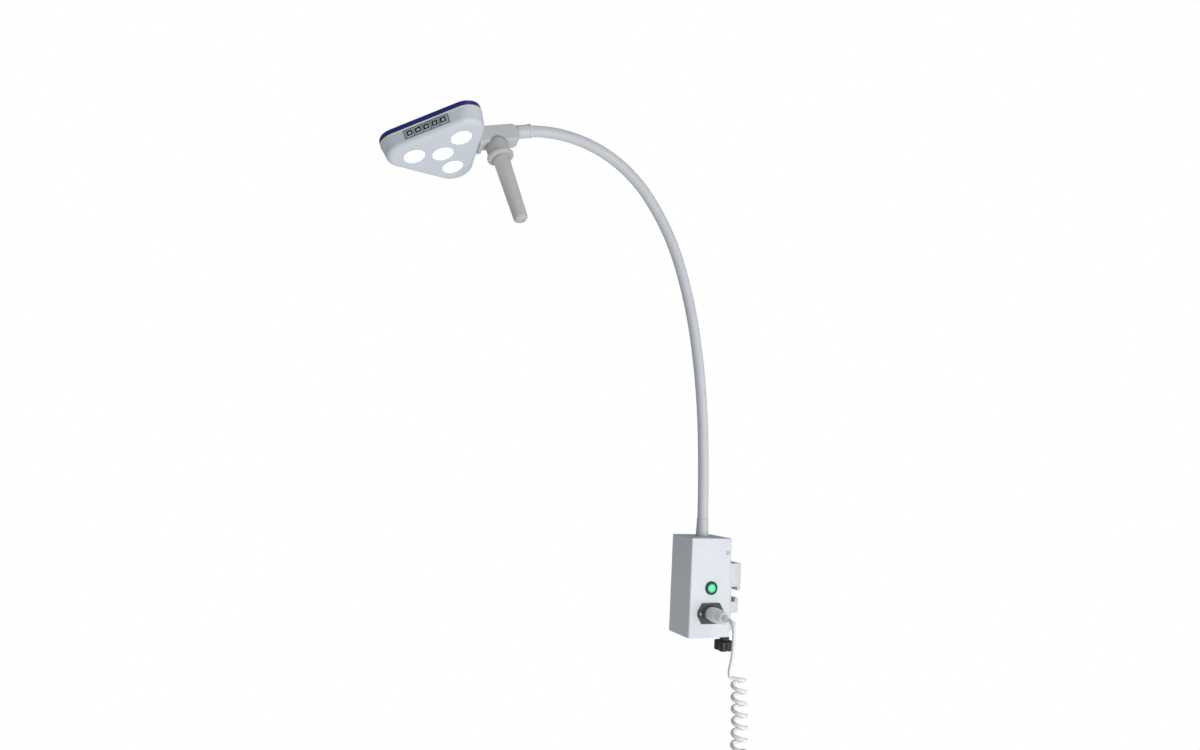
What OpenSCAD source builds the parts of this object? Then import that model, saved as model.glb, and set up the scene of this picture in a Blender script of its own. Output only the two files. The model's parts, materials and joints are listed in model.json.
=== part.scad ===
// Rail-mounted LED surgical light: clamp, supply case, gooseneck arm, handle and lamp head.
// Frame: origin at the middle of the clamp pad, where the rail's front face rests.
// +X runs along the rail, +Y points through the rail to the wall, +Z is up.

/* [Rail clamp] */
// Height of the equipment rail that the clamp grips
rail_h = 25; // [20:0.5:30]
// Thickness of the equipment rail
rail_t = 10; // [8:0.5:12]
// Width of the clamp along the rail
clamp_w = 52; // [40:1:60]
// Height of the clamp body above the middle of the rail
clamp_top = 51; // [30:1:60]
// Overall diameter of the lobed knob
knob_d = 34; // [28:1:40]

/* [Supply case] */
// Width of the case along the rail
case_w = 68; // [60:1:80]
// Depth of the case out from the rail
case_d = 76; // [66:1:90]
// Height of the case
case_h = 160; // [140:1:180]
// Distance from the middle of the rail down to the case's underside
case_drop = 67; // [62:1:72]
// Sheet thickness of the case
sheet = 2; // [1.5:0.1:3]

/* [Gooseneck] */
// Outside diameter of the gooseneck sleeve
neck_d = 18; // [14:0.5:20]
// Length of each arc of the gooseneck, from the case to the head
neck_len = [170, 170, 125, 125, 125, 125];
// Bend of each arc, in degrees, leaning out from the rail
neck_bend = [4, 8, 10, 19, 33, 32];

/* [Lamp head] */
// Turn of the head about the end of the gooseneck
head_roll = 17; // [-45:1:45]
// Distance from the head's middle to each of its three rounded tips
head_tip = 88.5; // [80:0.5:100]
// Corner radius of the head
head_r = 26.5; // [16:0.5:30]
// Height of the lower shell
shell_h = 25; // [22:0.5:28]
// Height of the blue rim
rim_h = 8; // [6:0.5:12]
// Rise of the cover's crown above the rim
crown_h = 8; // [6:0.5:12]
// Diameter of each lens
lens_d = 31; // [28:0.5:34]
// Distance from the head's middle to the three outer lenses
lens_pitch = 44; // [40:0.5:46]

/* [Handle] */
// Length of the grip below its guard flange
grip_len = 111; // [80:1:130]
// Diameter of the grip next to the flange
grip_d = 26; // [20:0.5:28]
// Diameter of the grip at its free end
grip_end_d = 22; // [18:0.5:24]
// Diameter of the guard flange
flange_d = 42; // [36:1:50]

/* [Power lead] */
// Diameter of the lead
cord_d = 6; // [5:0.5:8]
// Outside diameter of the coiled stretch
coil_d = 27; // [24:1:32]
// Height of the coiled stretch as it hangs
coil_h = 243; // [180:1:300]

/* [Hidden] */
$fn = 48;
eps = 0.01;
gap = 0.3;              // clear distance between parts that move past each other
run = 0.05;             // radial clearance of a running fit

// Clamp
plate_t = 8;            // thickness of the clamp's back plate
pad_t = 1;
lip_t = 6;              // lip that reaches behind the rail
lip_grip = 5.7;         // how far each lip overlaps the rail's back
jaw_w = 40;
jaw_drop = 18;          // height of the moving jaw under the rail
foot_w = 30;
foot_top = -48;         // top of the threaded foot
foot_t = 12;
screw_r = 4;
screw_y = 5;            // the clamp screw stands under the middle of the rail
knob_top = -79;
knob_h = 17;
knob_neck_h = 5;
jaw_top = -rail_h / 2 - 0.3;
lip_y = rail_t + gap;
grip_depth = lip_y + lip_t;      // from the rail's front face to the back of the clamp
knob_bottom = knob_top - knob_h;
lobe_r = 6;
lobe_count = 4;
bolt_r = 2.5;
bolt_x = [-16, 16];
bolt_z = [-40, 35];
slot_size = [18, 12, 3];         // lightening slots in the hook: width, depth, corner
jaw_bore = 8;                    // depth of the jaw's blind hole for the screw

// Case
case_bottom = -case_drop;
case_top = case_bottom + case_h;
case_back = -plate_t;
case_front = case_back - case_d;
case_mid_y = (case_front + case_back) / 2;
case_r = 2.5;
side_screw_z = [69];
side_screw_y = -16;
socket_d = 9.8 * 2;     // threaded neck socket
switch_r = 11;          // black bezel
barrel_r = 9.2;         // switch barrel behind the panel
cap_r = 7.9;
cap_bore = cap_r + gap;
recess_r = 12.5;        // inlet recess for the line connector
ear_x = 20;             // inlet screws, to each side
pin_r = 1.5;
pin_places = [[-5, 2], [5, 2], [0, -4]];
vent_rows = 6;
vent_pitch = 7;
board_y = case_front + 12;
board_z = case_bottom + 22;
board_size = [1.6, case_d - 26, 92];
board_hole_y = [5, board_size[1] - 5];
board_hole_z = [5, board_size[2] - 5];
panel_x = case_w / 2;
panel_y = -45;          // switch and inlet line
switch_z = 12.5;
inlet_z = -28;
board_x = -18;          // middle of the board's thickness

// Gooseneck
neck_r = neck_d / 2;
bore_r = 6.5;
core_r = 6.3;
core_bore_r = 4;
ball_r = neck_r - 0.05; // a little under the sleeve, so that the ball never stands proud
socket_r = neck_r + gap;
segments = len(neck_len);
function arc_radius(i) = neck_len[i] * 180 / (PI * neck_bend[i]);
function heading(i) = i == 0 ? 0 : heading(i - 1) + neck_bend[i - 1];
function turned(v, a) = [v[0] * cos(a) - v[1] * sin(a), v[0] * sin(a) + v[1] * cos(a)];
function arc_step(i) = [-arc_radius(i) * (1 - cos(neck_bend[i])), arc_radius(i) * sin(neck_bend[i])];
function joint_yz(i) = i == 0 ? [case_mid_y, case_top]
    : joint_yz(i - 1) + turned(arc_step(i - 1), heading(i - 1));

// Bracket frame: X sideways, -Y out of the light, +Z along the end of the gooseneck
ferrule_len = 16;       // the ferrule's cup takes the last stretch of the sleeve
ferrule_r = 10.5;
cup_r = neck_r + 0.7;
sleeve_short = 7;       // the sleeve ends this far before the end of the last arc
bracket_start = 9;
bracket_w = 26;
bracket_up = 9;         // from the gooseneck's axis to the bracket's top
bracket_down = 20.5;      // and to its underside
bracket_r = 10;
journal_r = 6;
journal_end = 27;
groove_z = 19;          // middle of the groove that the swivel screw runs in
groove_h = 4.6;
groove_r = 4.6;
wire_r = 3;
wire_y = 1.5;           // the wiring passes above the handle's hub
foot_plate_t = 6;
foot_plate_w = 32;
head_screw_x = 10;
foot_h = 34;
foot_y = -8;
head_screw_y = -13;
hub_z = 48;             // the handle's axis
hub_r = 18;
hub_centre = 24.5;      // middle of the hub's domed top, below the gooseneck's axis
hub_end = 39;
flange_h = 6;
stud_r = 7;
stud_len = 36;

// Head frame: X to the bracket, Z up from the face that the light leaves by
head_dist = 136;
head_level = 28;
head_flat = (head_tip + head_r) / 2;
face_r = 30;            // the corners are rounder at the face, on the same flats
face_tip = 2 * head_flat - face_r;
bracket_end = head_dist - head_flat;
gasket_t = 2.5;
shell_wall = 2.5;
face_t = 3;
fillet = 9;
boss_dist = 66;
boss_r = 4.5;
board_tip = 58;
board_r = 14;
board_level = 16.5;
lens_flange_t = 1.6;
led_w = 7;
led_t = 1.6;
led_board_t = 1.6;
key_pitch = 13.2;
key_w = 9.4;
key_h = 9.4;
keypad_w = 71;
keypad_h = 15.4;
keypad_z = 16.6;
keypad_t = 1.2;
key_count = 5;
tips = [60, 180, 300];
keypad_side = 240;

// Power lead
connector_r = 11.5;
connector_end = panel_x + 32;
relief_len = 24;
coil_x = 112;
coil_y = -33;
coil_top = -113;
coil_r = coil_d / 2;
coil_bottom = coil_top - coil_h;
plug_top = -384;
plug_h = 38;
plug_pin_h = 19;
// Route of the straight part of the lead, from the relief to the coil
lead_route = [[90, -45, -28], [96, -45.2, -28.6], [102, -45.8, -31], [106.5, -46.5, -35.5],
    [109.5, -47.2, -42], [111, -47.8, -50], [112, -48.3, -60], [112, -49, -71], [112, -50.2, -82],
    [112, -51.5, -91], [112, -51.5, -98], [112, -49, -104], [112, -45, -109], [112, -43.5, -113]];
// Route from the coil's lower end to the mains plug
tail_route = [[112, -43.5, -356], [112, -42, -362], [112, -39, -369], [112, -36, -376],
    [112, -35, -384]];

// ---- helpers ----
module rounded_rect(w, h, r) {
    square([w - 2 * r, h], center = true);
    square([w, h - 2 * r], center = true);
    for (sx = [-1, 1]) for (sy = [-1, 1]) translate([sx * (w / 2 - r), sy * (h / 2 - r)]) circle(r);
}

// Triangle with its tips at 60, 180 and 300 degrees and round corners
module rounded_triangle(tip, r) {
    c = tip - r;
    polygon([for (a = tips) for (s = [-60:7.5:60])
        [c * cos(a) + r * cos(a + s), c * sin(a) + r * sin(a + s)]]);
}

module at_panel(z) {
    translate([panel_x, panel_y, z]) rotate([90, 0, 90]) children();
}

// Frame of the gooseneck at the start of arc i: +Z along it, bending towards -Y
module at_joint(i) {
    translate([0, joint_yz(i)[0], joint_yz(i)[1]]) rotate([heading(i), 0, 0]) children();
}

module at_bracket() {
    at_joint(segments) rotate([0, 0, head_roll]) children();
}

module at_head() {
    at_bracket() translate([0, -head_level, head_dist]) rotate([0, 90, 90]) children();
}

// Solid arc of radius r from angle a0 to angle a1 of arc i
module arc_rod(i, r, a0, a1) {
    translate([0, -arc_radius(i), 0]) rotate([90, 0, 90]) rotate([0, 0, a0])
        rotate_extrude(angle = a1 - a0) translate([arc_radius(i), 0]) circle(r);
}

module arc_tube(i, r_out, r_in, a0, a1) {
    translate([0, -arc_radius(i), 0]) rotate([90, 0, 90]) rotate([0, 0, a0])
        rotate_extrude(angle = a1 - a0) translate([arc_radius(i), 0]) difference() {
            circle(r_out);
            circle(r_in);
        }
}

// Degrees of arc i that cover a length l
function arc_deg(i, l) = l * neck_bend[i] / neck_len[i];

// Tube swept through points, with a ring at each point
function unit(v) = v / norm(v);
function path_dir(p, i) = unit(p[min(i + 1, len(p) - 1)] - p[max(i - 1, 0)]);
function ring(c, d, r, n) = let (u = unit(cross(d, [0, 1, 0.2])), w = cross(d, u))
    [for (k = [0:n - 1]) c + r * cos(360 * k / n) * u + r * sin(360 * k / n) * w];
module swept_tube(p, r, n, d0, d1) {
    m = len(p);
    dir = [for (i = [0:m - 1]) i == 0 ? d0 : i == m - 1 ? d1 : path_dir(p, i)];
    points = [for (i = [0:m - 1]) each ring(p[i], dir[i], r, n)];
    sides = [for (i = [0:m - 2]) for (k = [0:n - 1])
        [i * n + k, (i + 1) * n + k, (i + 1) * n + (k + 1) % n, i * n + (k + 1) % n]];
    first = [for (k = [0:n - 1]) k];
    last = [for (k = [n - 1:-1:0]) (m - 1) * n + k];
    polyhedron(points, concat(sides, [first, last]), convexity = 6);
}

// ---- rail clamp ----
module clamp_body() {
    color("gainsboro") difference() {
        union() {
            // back plate
            translate([-clamp_w / 2, -plate_t, foot_top - foot_t])
                cube([clamp_w, plate_t - pad_t, clamp_top - foot_top + foot_t]);
            // hook over the rail
            translate([-clamp_w / 2, -pad_t - eps, rail_h / 2 + 0.2])
                cube([clamp_w, grip_depth + pad_t + eps, clamp_top - rail_h / 2 - 0.2]);
            translate([-clamp_w / 2, lip_y, rail_h / 2 - lip_grip])
                cube([clamp_w, lip_t, lip_grip + 1]);
            // threaded foot
            translate([-foot_w / 2, -pad_t - eps, foot_top - foot_t])
                cube([foot_w, grip_depth + pad_t + eps, foot_t]);
        }
        translate([0, screw_y, foot_top - foot_t - 1]) cylinder(r = screw_r + run, h = foot_t + 2);
        // slots that lighten the hook
        for (s = [-1, 1]) translate([s * clamp_w / 4, 4, rail_h / 2 + 9])
            linear_extrude(clamp_top) rounded_rect(slot_size[0], slot_size[1], slot_size[2]);
        for (x = bolt_x) for (z = bolt_z) translate([x, 1, z]) rotate([90, 0, 0])
            cylinder(r = bolt_r + 0.1, h = plate_t + 2);
    }
}

module clamp_pad() {
    color("dimgray") rotate([90, 0, 0]) linear_extrude(pad_t) rounded_rect(44, 12, 2);
}

module clamp_jaw() {
    color("gainsboro") difference() {
        union() {
            translate([-jaw_w / 2, -pad_t + gap, jaw_top - jaw_drop])
                cube([jaw_w, grip_depth + pad_t - gap, jaw_drop]);
            translate([-jaw_w / 2, lip_y, jaw_top - 1])
                cube([jaw_w, lip_t, lip_grip + 1.3]);
        }
        translate([0, screw_y, jaw_top - jaw_drop - 1]) cylinder(r = screw_r + run, h = jaw_bore + 1);
    }
}

module clamp_screw() {
    screw_end = jaw_top - jaw_drop + jaw_bore;
    color("silver") translate([0, screw_y, knob_top + 2])
        cylinder(r = screw_r, h = screw_end - knob_top - 2);
}

module clamp_knob() {
    color("black") translate([0, screw_y, 0]) difference() {
        union() {
            translate([0, 0, knob_top]) cylinder(r = 8, h = knob_neck_h);
            translate([0, 0, knob_bottom]) cylinder(r = knob_d / 2 - 5, h = knob_h);
            for (k = [0:lobe_count - 1]) rotate((k + 0.5) * 360 / lobe_count)
                translate([knob_d / 2 - lobe_r, 0, knob_bottom]) cylinder(r = lobe_r, h = knob_h);
        }
        translate([0, 0, knob_top + 2]) cylinder(r = screw_r, h = knob_neck_h);
        // finger hollows between the lobes
        for (k = [0:lobe_count - 1]) rotate(k * 360 / lobe_count)
            translate([knob_d / 2 + 1, 0, knob_bottom - 1]) cylinder(r = lobe_r - 0.5, h = knob_h + 2);
    }
}

module clamp_bolts() {
    color("silver") for (x = bolt_x) for (z = bolt_z) translate([x, 0, z]) rotate([90, 0, 0]) {
        translate([0, 0, pad_t + 0.5]) cylinder(r = bolt_r, h = plate_t - pad_t - 0.5 + sheet);
        translate([0, 0, plate_t + sheet]) cylinder(r = 4.25, h = 2.8);
    }
}

// ---- supply case ----
module at_side_screws() {
    for (z = side_screw_z) for (s = [-1, 1])
        translate([s * case_w / 2, side_screw_y, z]) rotate([0, -s * 90, 0]) children();
}

module case_shell() {
    color("aliceblue") difference() {
        translate([0, case_mid_y, case_bottom]) linear_extrude(case_h)
            rounded_rect(case_w, case_d, case_r);
        translate([-case_w / 2 + sheet, case_front + sheet, case_bottom - 1])
            cube([case_w - 2 * sheet, case_d - sheet + 1, case_h - sheet + 1]);
        translate([0, case_mid_y, case_top - sheet - 1]) cylinder(r = socket_d / 2 + 0.1, h = sheet + 2);
        at_panel(switch_z) translate([0, 0, -sheet - 1]) cylinder(r = barrel_r + 0.2, h = sheet + 2);
        at_panel(inlet_z) {
            translate([0, 0, -sheet - 1]) cylinder(r = 15.2, h = sheet + 2);
            for (s = [-1, 1]) translate([s * ear_x, 0, -sheet - 1]) cylinder(r = 1.8, h = sheet + 2);
        }
        at_side_screws() {
            translate([0, 0, -1]) cylinder(r = 1.7, h = sheet + 2);
            translate([0, 0, -eps]) cylinder(r1 = 3.2, r2 = 1.7, h = 1.5);
        }
        // rows of vents low on the far side, and a drain notch in the near side's lower edge
        for (i = [0:vent_rows - 1])
            translate([-panel_x - 1, case_mid_y - 20, case_bottom + 18 + vent_pitch * i])
                cube([sheet + 2, 40, 3]);
        translate([panel_x - sheet - 1, case_mid_y - 14, case_bottom - 1]) cube([sheet + 2, 3, 3]);
    }
}

module case_chassis() {
    inner_w = case_w - 2 * sheet - 0.4;
    color("lightgray") difference() {
        union() {
            translate([-inner_w / 2, case_back - sheet, case_bottom])
                cube([inner_w, sheet, case_h - sheet - 0.2]);
            translate([-inner_w / 2, case_front + sheet + 0.2, case_bottom])
                cube([inner_w, case_d - sheet - 0.2, sheet]);
            for (s = [-1, 1])
                translate([s * (inner_w / 2 - sheet / 2), side_screw_y, case_bottom + case_h / 2 - 1])
                    cube([sheet, 14, case_h - 6], center = true);
        }
        for (z = side_screw_z) translate([-panel_x, side_screw_y, z]) rotate([0, 90, 0])
            cylinder(r = 1.3, h = case_w);
        for (x = bolt_x) for (z = bolt_z) translate([x, case_back + 1, z]) rotate([90, 0, 0])
            cylinder(r = bolt_r + 0.1, h = sheet + 2);
    }
}

module case_screws() {
    color("silver") at_side_screws() difference() {
        union() {
            translate([0, 0, 0.1]) cylinder(r1 = 3, r2 = 1.5, h = 1.5);
            translate([0, 0, 1.5]) cylinder(r = 1.25, h = 6);
        }
        translate([0, 0, -1]) cylinder(r = 1, h = 2, $fn = 6);
    }
}

module supply_board() {
    color("seagreen") translate([board_x - board_size[0] / 2, board_y, board_z]) difference() {
        cube(board_size);
        for (y = board_hole_y) for (z = board_hole_z) translate([-1, y, z]) rotate([0, 90, 0])
            cylinder(r = 1.6, h = 4);
    }
}

module power_module() {
    face = board_x + board_size[0] / 2;
    color("black") translate([face, board_y + 6, board_z + 8]) {
        cube([18, 38, 46]);
        translate([0, 8, 52]) cube([14, 22, 20]);
    }
    // reservoir capacitor
    color("darkslateblue") translate([face, board_y + 38, board_z + 72]) rotate([0, 90, 0])
        cylinder(r = 7, h = 20);
}

module board_standoffs() {
    foot = -panel_x + sheet;
    color("goldenrod") for (y = board_hole_y) for (z = board_hole_z)
        translate([foot, board_y + y, board_z + z]) rotate([0, 90, 0]) {
            cylinder(r = 3, h = board_x - board_size[0] / 2 - foot);
            cylinder(r = 1.5, h = board_x - foot + 3);
        }
}

module switch_housing() {
    color("black") at_panel(switch_z) difference() {
        union() {
            cylinder(r = switch_r, h = 2.5);
            translate([0, 0, -26]) cylinder(r = barrel_r, h = 26 + eps);
            translate([0, 0, -6 - sheet]) cylinder(r = barrel_r + 2.5, h = 6);
        }
        translate([0, 0, -8]) cylinder(r = cap_bore, h = 12);
    }
}

module switch_cap() {
    color("limegreen") at_panel(switch_z) translate([0, 0, -5]) cylinder(r = cap_r, h = 8.6);
}

module inlet_housing() {
    color("darkslategray") at_panel(inlet_z) difference() {
        union() {
            linear_extrude(3) polygon([[-16, 16.5], [16, 16.5], [24, 3.5], [24, -3.5], [16, -16.5],
                [-16, -16.5], [-24, -3.5], [-24, 3.5]]);
            translate([0, 0, -18]) cylinder(r = 15, h = 18 + eps);
        }
        translate([0, 0, -15]) cylinder(r = recess_r, h = 20);
        for (s = [-1, 1]) translate([s * ear_x, 0, -1]) cylinder(r = 1.8, h = 5);
        for (p = pin_places) translate([p[0], p[1], -19]) cylinder(r = pin_r, h = 5);
    }
}

module inlet_pins() {
    color("gold") at_panel(inlet_z) for (p = pin_places) translate([p[0], p[1], -24])
        cylinder(r = pin_r, h = 20);
}

module inlet_screws() {
    color("silver") at_panel(inlet_z) for (s = [-1, 1]) translate([s * ear_x, 0, 0]) {
        translate([0, 0, 3]) cylinder(r = 2.9, h = 1.4);
        translate([0, 0, -6]) cylinder(r = 1.5, h = 9);
    }
}

// ---- gooseneck ----
module neck_socket() {
    color("silver") translate([0, case_mid_y, case_top - 20]) difference() {
        cylinder(r = socket_d / 2, h = 20);
        translate([0, 0, -1]) cylinder(r = core_bore_r, h = 22);
    }
}

module neck_nut() {
    color("silver") translate([0, case_mid_y, case_top - sheet - 6]) difference() {
        cylinder(r = 15, h = 6, $fn = 6);
        translate([0, 0, -1]) cylinder(r = socket_d / 2 + 0.1, h = 8);
    }
}

module neck_boot() {
    color("whitesmoke") translate([0, case_mid_y, case_top]) difference() {
        cylinder(r1 = 11, r2 = 9.7, h = 30);
        translate([0, 0, -1]) cylinder(r = neck_r + 0.25, h = 32);
    }
}

module at_arc_end(i) {
    translate([0, arc_step(i)[0], arc_step(i)[1]]) rotate([neck_bend[i], 0, 0]) children();
}

module neck_sleeve(i) {
    is_last = i == segments - 1;
    a1 = neck_bend[i] - (is_last ? arc_deg(i, sleeve_short) : 0);
    color("whitesmoke") at_joint(i) difference() {
        union() {
            arc_rod(i, neck_r, 0, a1);
            if (!is_last) at_arc_end(i) sphere(r = ball_r);
        }
        arc_rod(i, bore_r, -arc_deg(i, 1), a1 + (is_last ? arc_deg(i, 1) : 0));
        if (i > 0) sphere(r = socket_r);
        if (!is_last) at_arc_end(i) translate([0, 0, -1]) cylinder(r = core_bore_r, h = neck_r + 2);
    }
}

module neck_core(i) {
    a0 = arc_deg(i, i == 0 ? 0.5 : neck_r + 1.5);
    a1 = neck_bend[i] - arc_deg(i, i == segments - 1 ? sleeve_short + 0.5 : 0.5);
    color("dimgray") at_joint(i) arc_tube(i, core_r, core_bore_r, a0, a1);
}

module neck_ferrule() {
    color("whitesmoke") at_joint(segments) difference() {
        union() {
            translate([0, 0, -ferrule_len]) cylinder(r = ferrule_r, h = ferrule_len + bracket_start - gap);
            translate([0, 0, -ferrule_len + 2]) cylinder(r = ferrule_r + 0.6, h = 2.5);
            cylinder(r = journal_r, h = journal_end);
        }
        translate([0, 0, -ferrule_len - 1]) cylinder(r = cup_r, h = ferrule_len - sleeve_short + 1.4);
        translate([0, 0, -ferrule_len]) cylinder(r = wire_r, h = ferrule_len + journal_end + 1);
        translate([0, 0, groove_z - groove_h / 2]) difference() {
            cylinder(r = journal_r + 1, h = groove_h);
            translate([0, 0, -1]) cylinder(r = groove_r, h = groove_h + 2);
        }
    }
}

// ---- bracket and handle ----
module swivel_screw() {
    screw_len = bracket_up - groove_r - gap - 1;
    color("dimgray") at_bracket() translate([0, groove_r + gap, groove_z]) rotate([-90, 0, 0])
        difference() {
            cylinder(r = 2, h = screw_len);
            translate([0, 0, screw_len - 1.5]) cylinder(r = 1, h = 2, $fn = 6);
        }
}

module bracket() {
    len_z = bracket_end - bracket_start;
    arm_h = bracket_up + bracket_down;
    mid_y = (bracket_up - bracket_down) / 2;
    color("aliceblue") at_bracket() difference() {
        union() {
            // arm with a round-cornered end
            rotate([0, -90, 0]) translate([0, 0, -bracket_w / 2]) linear_extrude(bracket_w) {
                translate([bracket_start + bracket_r, mid_y - arm_h / 2])
                    square([len_z - bracket_r, arm_h]);
                translate([bracket_start, mid_y - arm_h / 2 + bracket_r])
                    square([bracket_r + 1, arm_h - 2 * bracket_r]);
                for (s = [-1, 1])
                    translate([bracket_start + bracket_r, mid_y + s * (arm_h / 2 - bracket_r)])
                        circle(bracket_r);
            }
            // foot against the head's flat side
            translate([0, foot_y, bracket_end - foot_plate_t]) linear_extrude(foot_plate_t)
                rounded_rect(foot_plate_w, foot_h, 4);
        }
        translate([0, 0, bracket_start - 1])
            cylinder(r = journal_r + run, h = journal_end - bracket_start + 1 + gap);
        translate([0, wire_y, journal_end]) cylinder(r = wire_r, h = bracket_end - journal_end - 2);
        translate([-wire_r, head_screw_y - 2, bracket_end - 4])
            cube([2 * wire_r, wire_y - head_screw_y + 5, 5]);
        // domed pocket for the handle's hub
        translate([0, -hub_centre, hub_z]) sphere(r = hub_r + 0.1);
        translate([0, -hub_centre, hub_z]) rotate([90, 0, 0]) cylinder(r = hub_r + 0.1, h = 20);
        for (s = [-1, 1]) translate([s * head_screw_x, head_screw_y, bracket_end - 8])
            cylinder(r = 1.7, h = 9);
        translate([0, 2, groove_z]) rotate([-90, 0, 0]) cylinder(r = 2.05, h = bracket_up);
    }
}

module bracket_screws() {
    color("silver") at_bracket() for (s = [-1, 1]) translate([s * head_screw_x, head_screw_y, 0]) {
        translate([0, 0, bracket_end - 7]) cylinder(r = 1.6, h = 7 + shell_wall);
        translate([0, 0, bracket_end + shell_wall]) cylinder(r = 3, h = 2);
    }
}

module at_handle(z) {
    at_bracket() translate([0, 0, hub_z]) rotate([90, 0, 0]) translate([0, 0, z]) children();
}

module handle_hub() {
    color("darkgray") at_handle(0) {
        translate([0, 0, hub_centre]) intersection() {
            sphere(r = hub_r);
            translate([0, 0, -hub_r]) cylinder(r = hub_r + 1, h = hub_r + eps);
        }
        translate([0, 0, hub_centre]) cylinder(r = hub_r, h = hub_end - hub_centre - gap);
        translate([0, 0, hub_end - 1]) cylinder(r = stud_r, h = stud_len + 1);
    }
}

module handle_flange() {
    color("silver") at_handle(hub_end) difference() {
        union() {
            cylinder(r = flange_d / 2, h = flange_h - 3);
            translate([0, 0, flange_h - 3]) cylinder(r1 = flange_d / 2, r2 = flange_d / 2 - 2, h = 3);
        }
        translate([0, 0, -1]) cylinder(r = stud_r + run, h = flange_h + 2);
    }
}

module handle_grip() {
    color("silver") at_handle(hub_end + flange_h) difference() {
        union() {
            cylinder(r1 = grip_d / 2, r2 = grip_end_d / 2, h = grip_len - grip_end_d / 2);
            translate([0, 0, grip_len - grip_end_d / 2]) sphere(r = grip_end_d / 2);
        }
        translate([0, 0, -1]) cylinder(r = stud_r + run, h = stud_len - flange_h + 3);
    }
}

// ---- lamp head ----
// Round-cornered triangular slab with its lower edge rounded
module head_outer(h, r) {
    hull() for (a = tips) rotate(a) {
        translate([head_tip - head_r, 0, h - 1]) cylinder(r = head_r, h = 1, $fn = 40);
        translate([face_tip - face_r, 0, r]) cylinder(r = face_r, h = 1, $fn = 40);
        for (s = [0, 22.5, 45, 67.5]) translate([face_tip - face_r, 0, r * (1 - cos(s))])
            cylinder(r = face_r - r + r * sin(s), h = eps, $fn = 40);
    }
}

module lens_places() {
    children();
    for (a = tips) rotate(a) translate([lens_pitch, 0, 0]) children();
}

module keypad_place() {
    rotate([0, 0, keypad_side]) translate([head_flat, 0, keypad_z]) rotate([90, 0, 90]) children();
}

// Screw bosses at the tips and board posts at the middles of the sides
module head_posts() {
    for (a = tips) rotate(a) translate([boss_dist, 0, 0]) cylinder(r = boss_r, h = shell_h);
    for (a = tips) rotate(a + 60) translate([30, 0, 0]) cylinder(r = 3, h = board_level);
}

module head_shell() {
    color("aliceblue") at_head() difference() {
        head_outer(shell_h, fillet);
        difference() {
            union() {
                translate([0, 0, face_t]) linear_extrude(shell_h)
                    rounded_triangle(face_tip - fillet, face_r - fillet + 1);
                // the side wall above the rounded edge is thinner
                hull() {
                    translate([0, 0, fillet + 1]) linear_extrude(1)
                        rounded_triangle(face_tip - shell_wall, face_r - shell_wall);
                    translate([0, 0, shell_h]) linear_extrude(1)
                        rounded_triangle(head_tip - shell_wall, head_r - shell_wall);
                }
            }
            head_posts();
        }
        for (a = tips) rotate(a) translate([boss_dist, 0, 6]) cylinder(r = 1.3, h = shell_h);
        lens_places() translate([0, 0, -1]) cylinder(r = lens_d / 2, h = face_t + 2);
        keypad_place() translate([0, 0, -keypad_t]) linear_extrude(4)
            square([keypad_w, keypad_h], center = true);
        // wiring hole and screw holes to the bracket
        for (s = [-1, 0, 1])
            translate([head_flat - 12, s * head_screw_x, head_level + head_screw_y]) rotate([0, 90, 0])
                cylinder(r = s == 0 ? wire_r : 1.7, h = 14);
    }
}

module head_gasket() {
    color("cornsilk") at_head() translate([0, 0, shell_h]) linear_extrude(gasket_t) difference() {
        rounded_triangle(head_tip, head_r);
        rounded_triangle(head_tip - 2.4, head_r - 2.4);
    }
}

module head_cover() {
    base = shell_h + gasket_t;
    color("mediumblue") at_head() difference() {
        translate([0, 0, base]) hull() for (a = tips) rotate(a) translate([head_tip - head_r, 0, 0]) {
            cylinder(r = head_r, h = rim_h - 2, $fn = 40);
            translate([0, 0, rim_h - 1]) cylinder(r = head_r - 0.4, h = eps, $fn = 40);
            translate([0, 0, rim_h]) cylinder(r = head_r - 1.6, h = eps, $fn = 40);
            translate([-8, 0, rim_h + crown_h * 0.6]) cylinder(r = head_r - 6, h = eps, $fn = 40);
            translate([-26, 0, rim_h + crown_h]) cylinder(r = head_r - 8, h = eps, $fn = 40);
        }
        difference() {
            translate([0, 0, base - 1]) linear_extrude(rim_h - 1)
                rounded_triangle(head_tip - shell_wall, head_r - shell_wall);
            for (a = tips) rotate(a) translate([boss_dist, 0, 0]) cylinder(r = boss_r, h = shell_h * 2);
        }
        translate([0, 0, base - 1]) linear_extrude(rim_h + crown_h - 3)
            rounded_triangle(board_tip + 2, board_r + 2);
        for (a = tips) rotate(a) translate([boss_dist, 0, 0]) {
            cylinder(r = 1.7, h = 60);
            translate([0, 0, base + rim_h - 3]) cylinder(r = 3.4, h = 20);
        }
    }
}

module lenses() {
    color("white") at_head() lens_places() {
        translate([0, 0, 0.6]) cylinder(r = lens_d / 2 - 0.15, h = face_t - 0.6);
        translate([0, 0, face_t]) cylinder(r = lens_d / 2 + 0.8, h = lens_flange_t);
    }
}

module collimators() {
    cone_h = board_level - led_t - face_t - lens_flange_t;
    color("gainsboro") at_head() lens_places() translate([0, 0, face_t + lens_flange_t]) difference() {
        cylinder(r1 = 14.5, r2 = 7, h = cone_h);
        translate([0, 0, -eps]) cylinder(r1 = 13.5, r2 = 5.5, h = cone_h + 2 * eps);
    }
}

module led_chips() {
    color("khaki") at_head() lens_places() translate([-led_w / 2, -led_w / 2, board_level - led_t])
        cube([led_w, led_w, led_t]);
}

module led_board() {
    color("white") at_head() translate([0, 0, board_level]) linear_extrude(led_board_t)
        rounded_triangle(board_tip, board_r);
}

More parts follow.
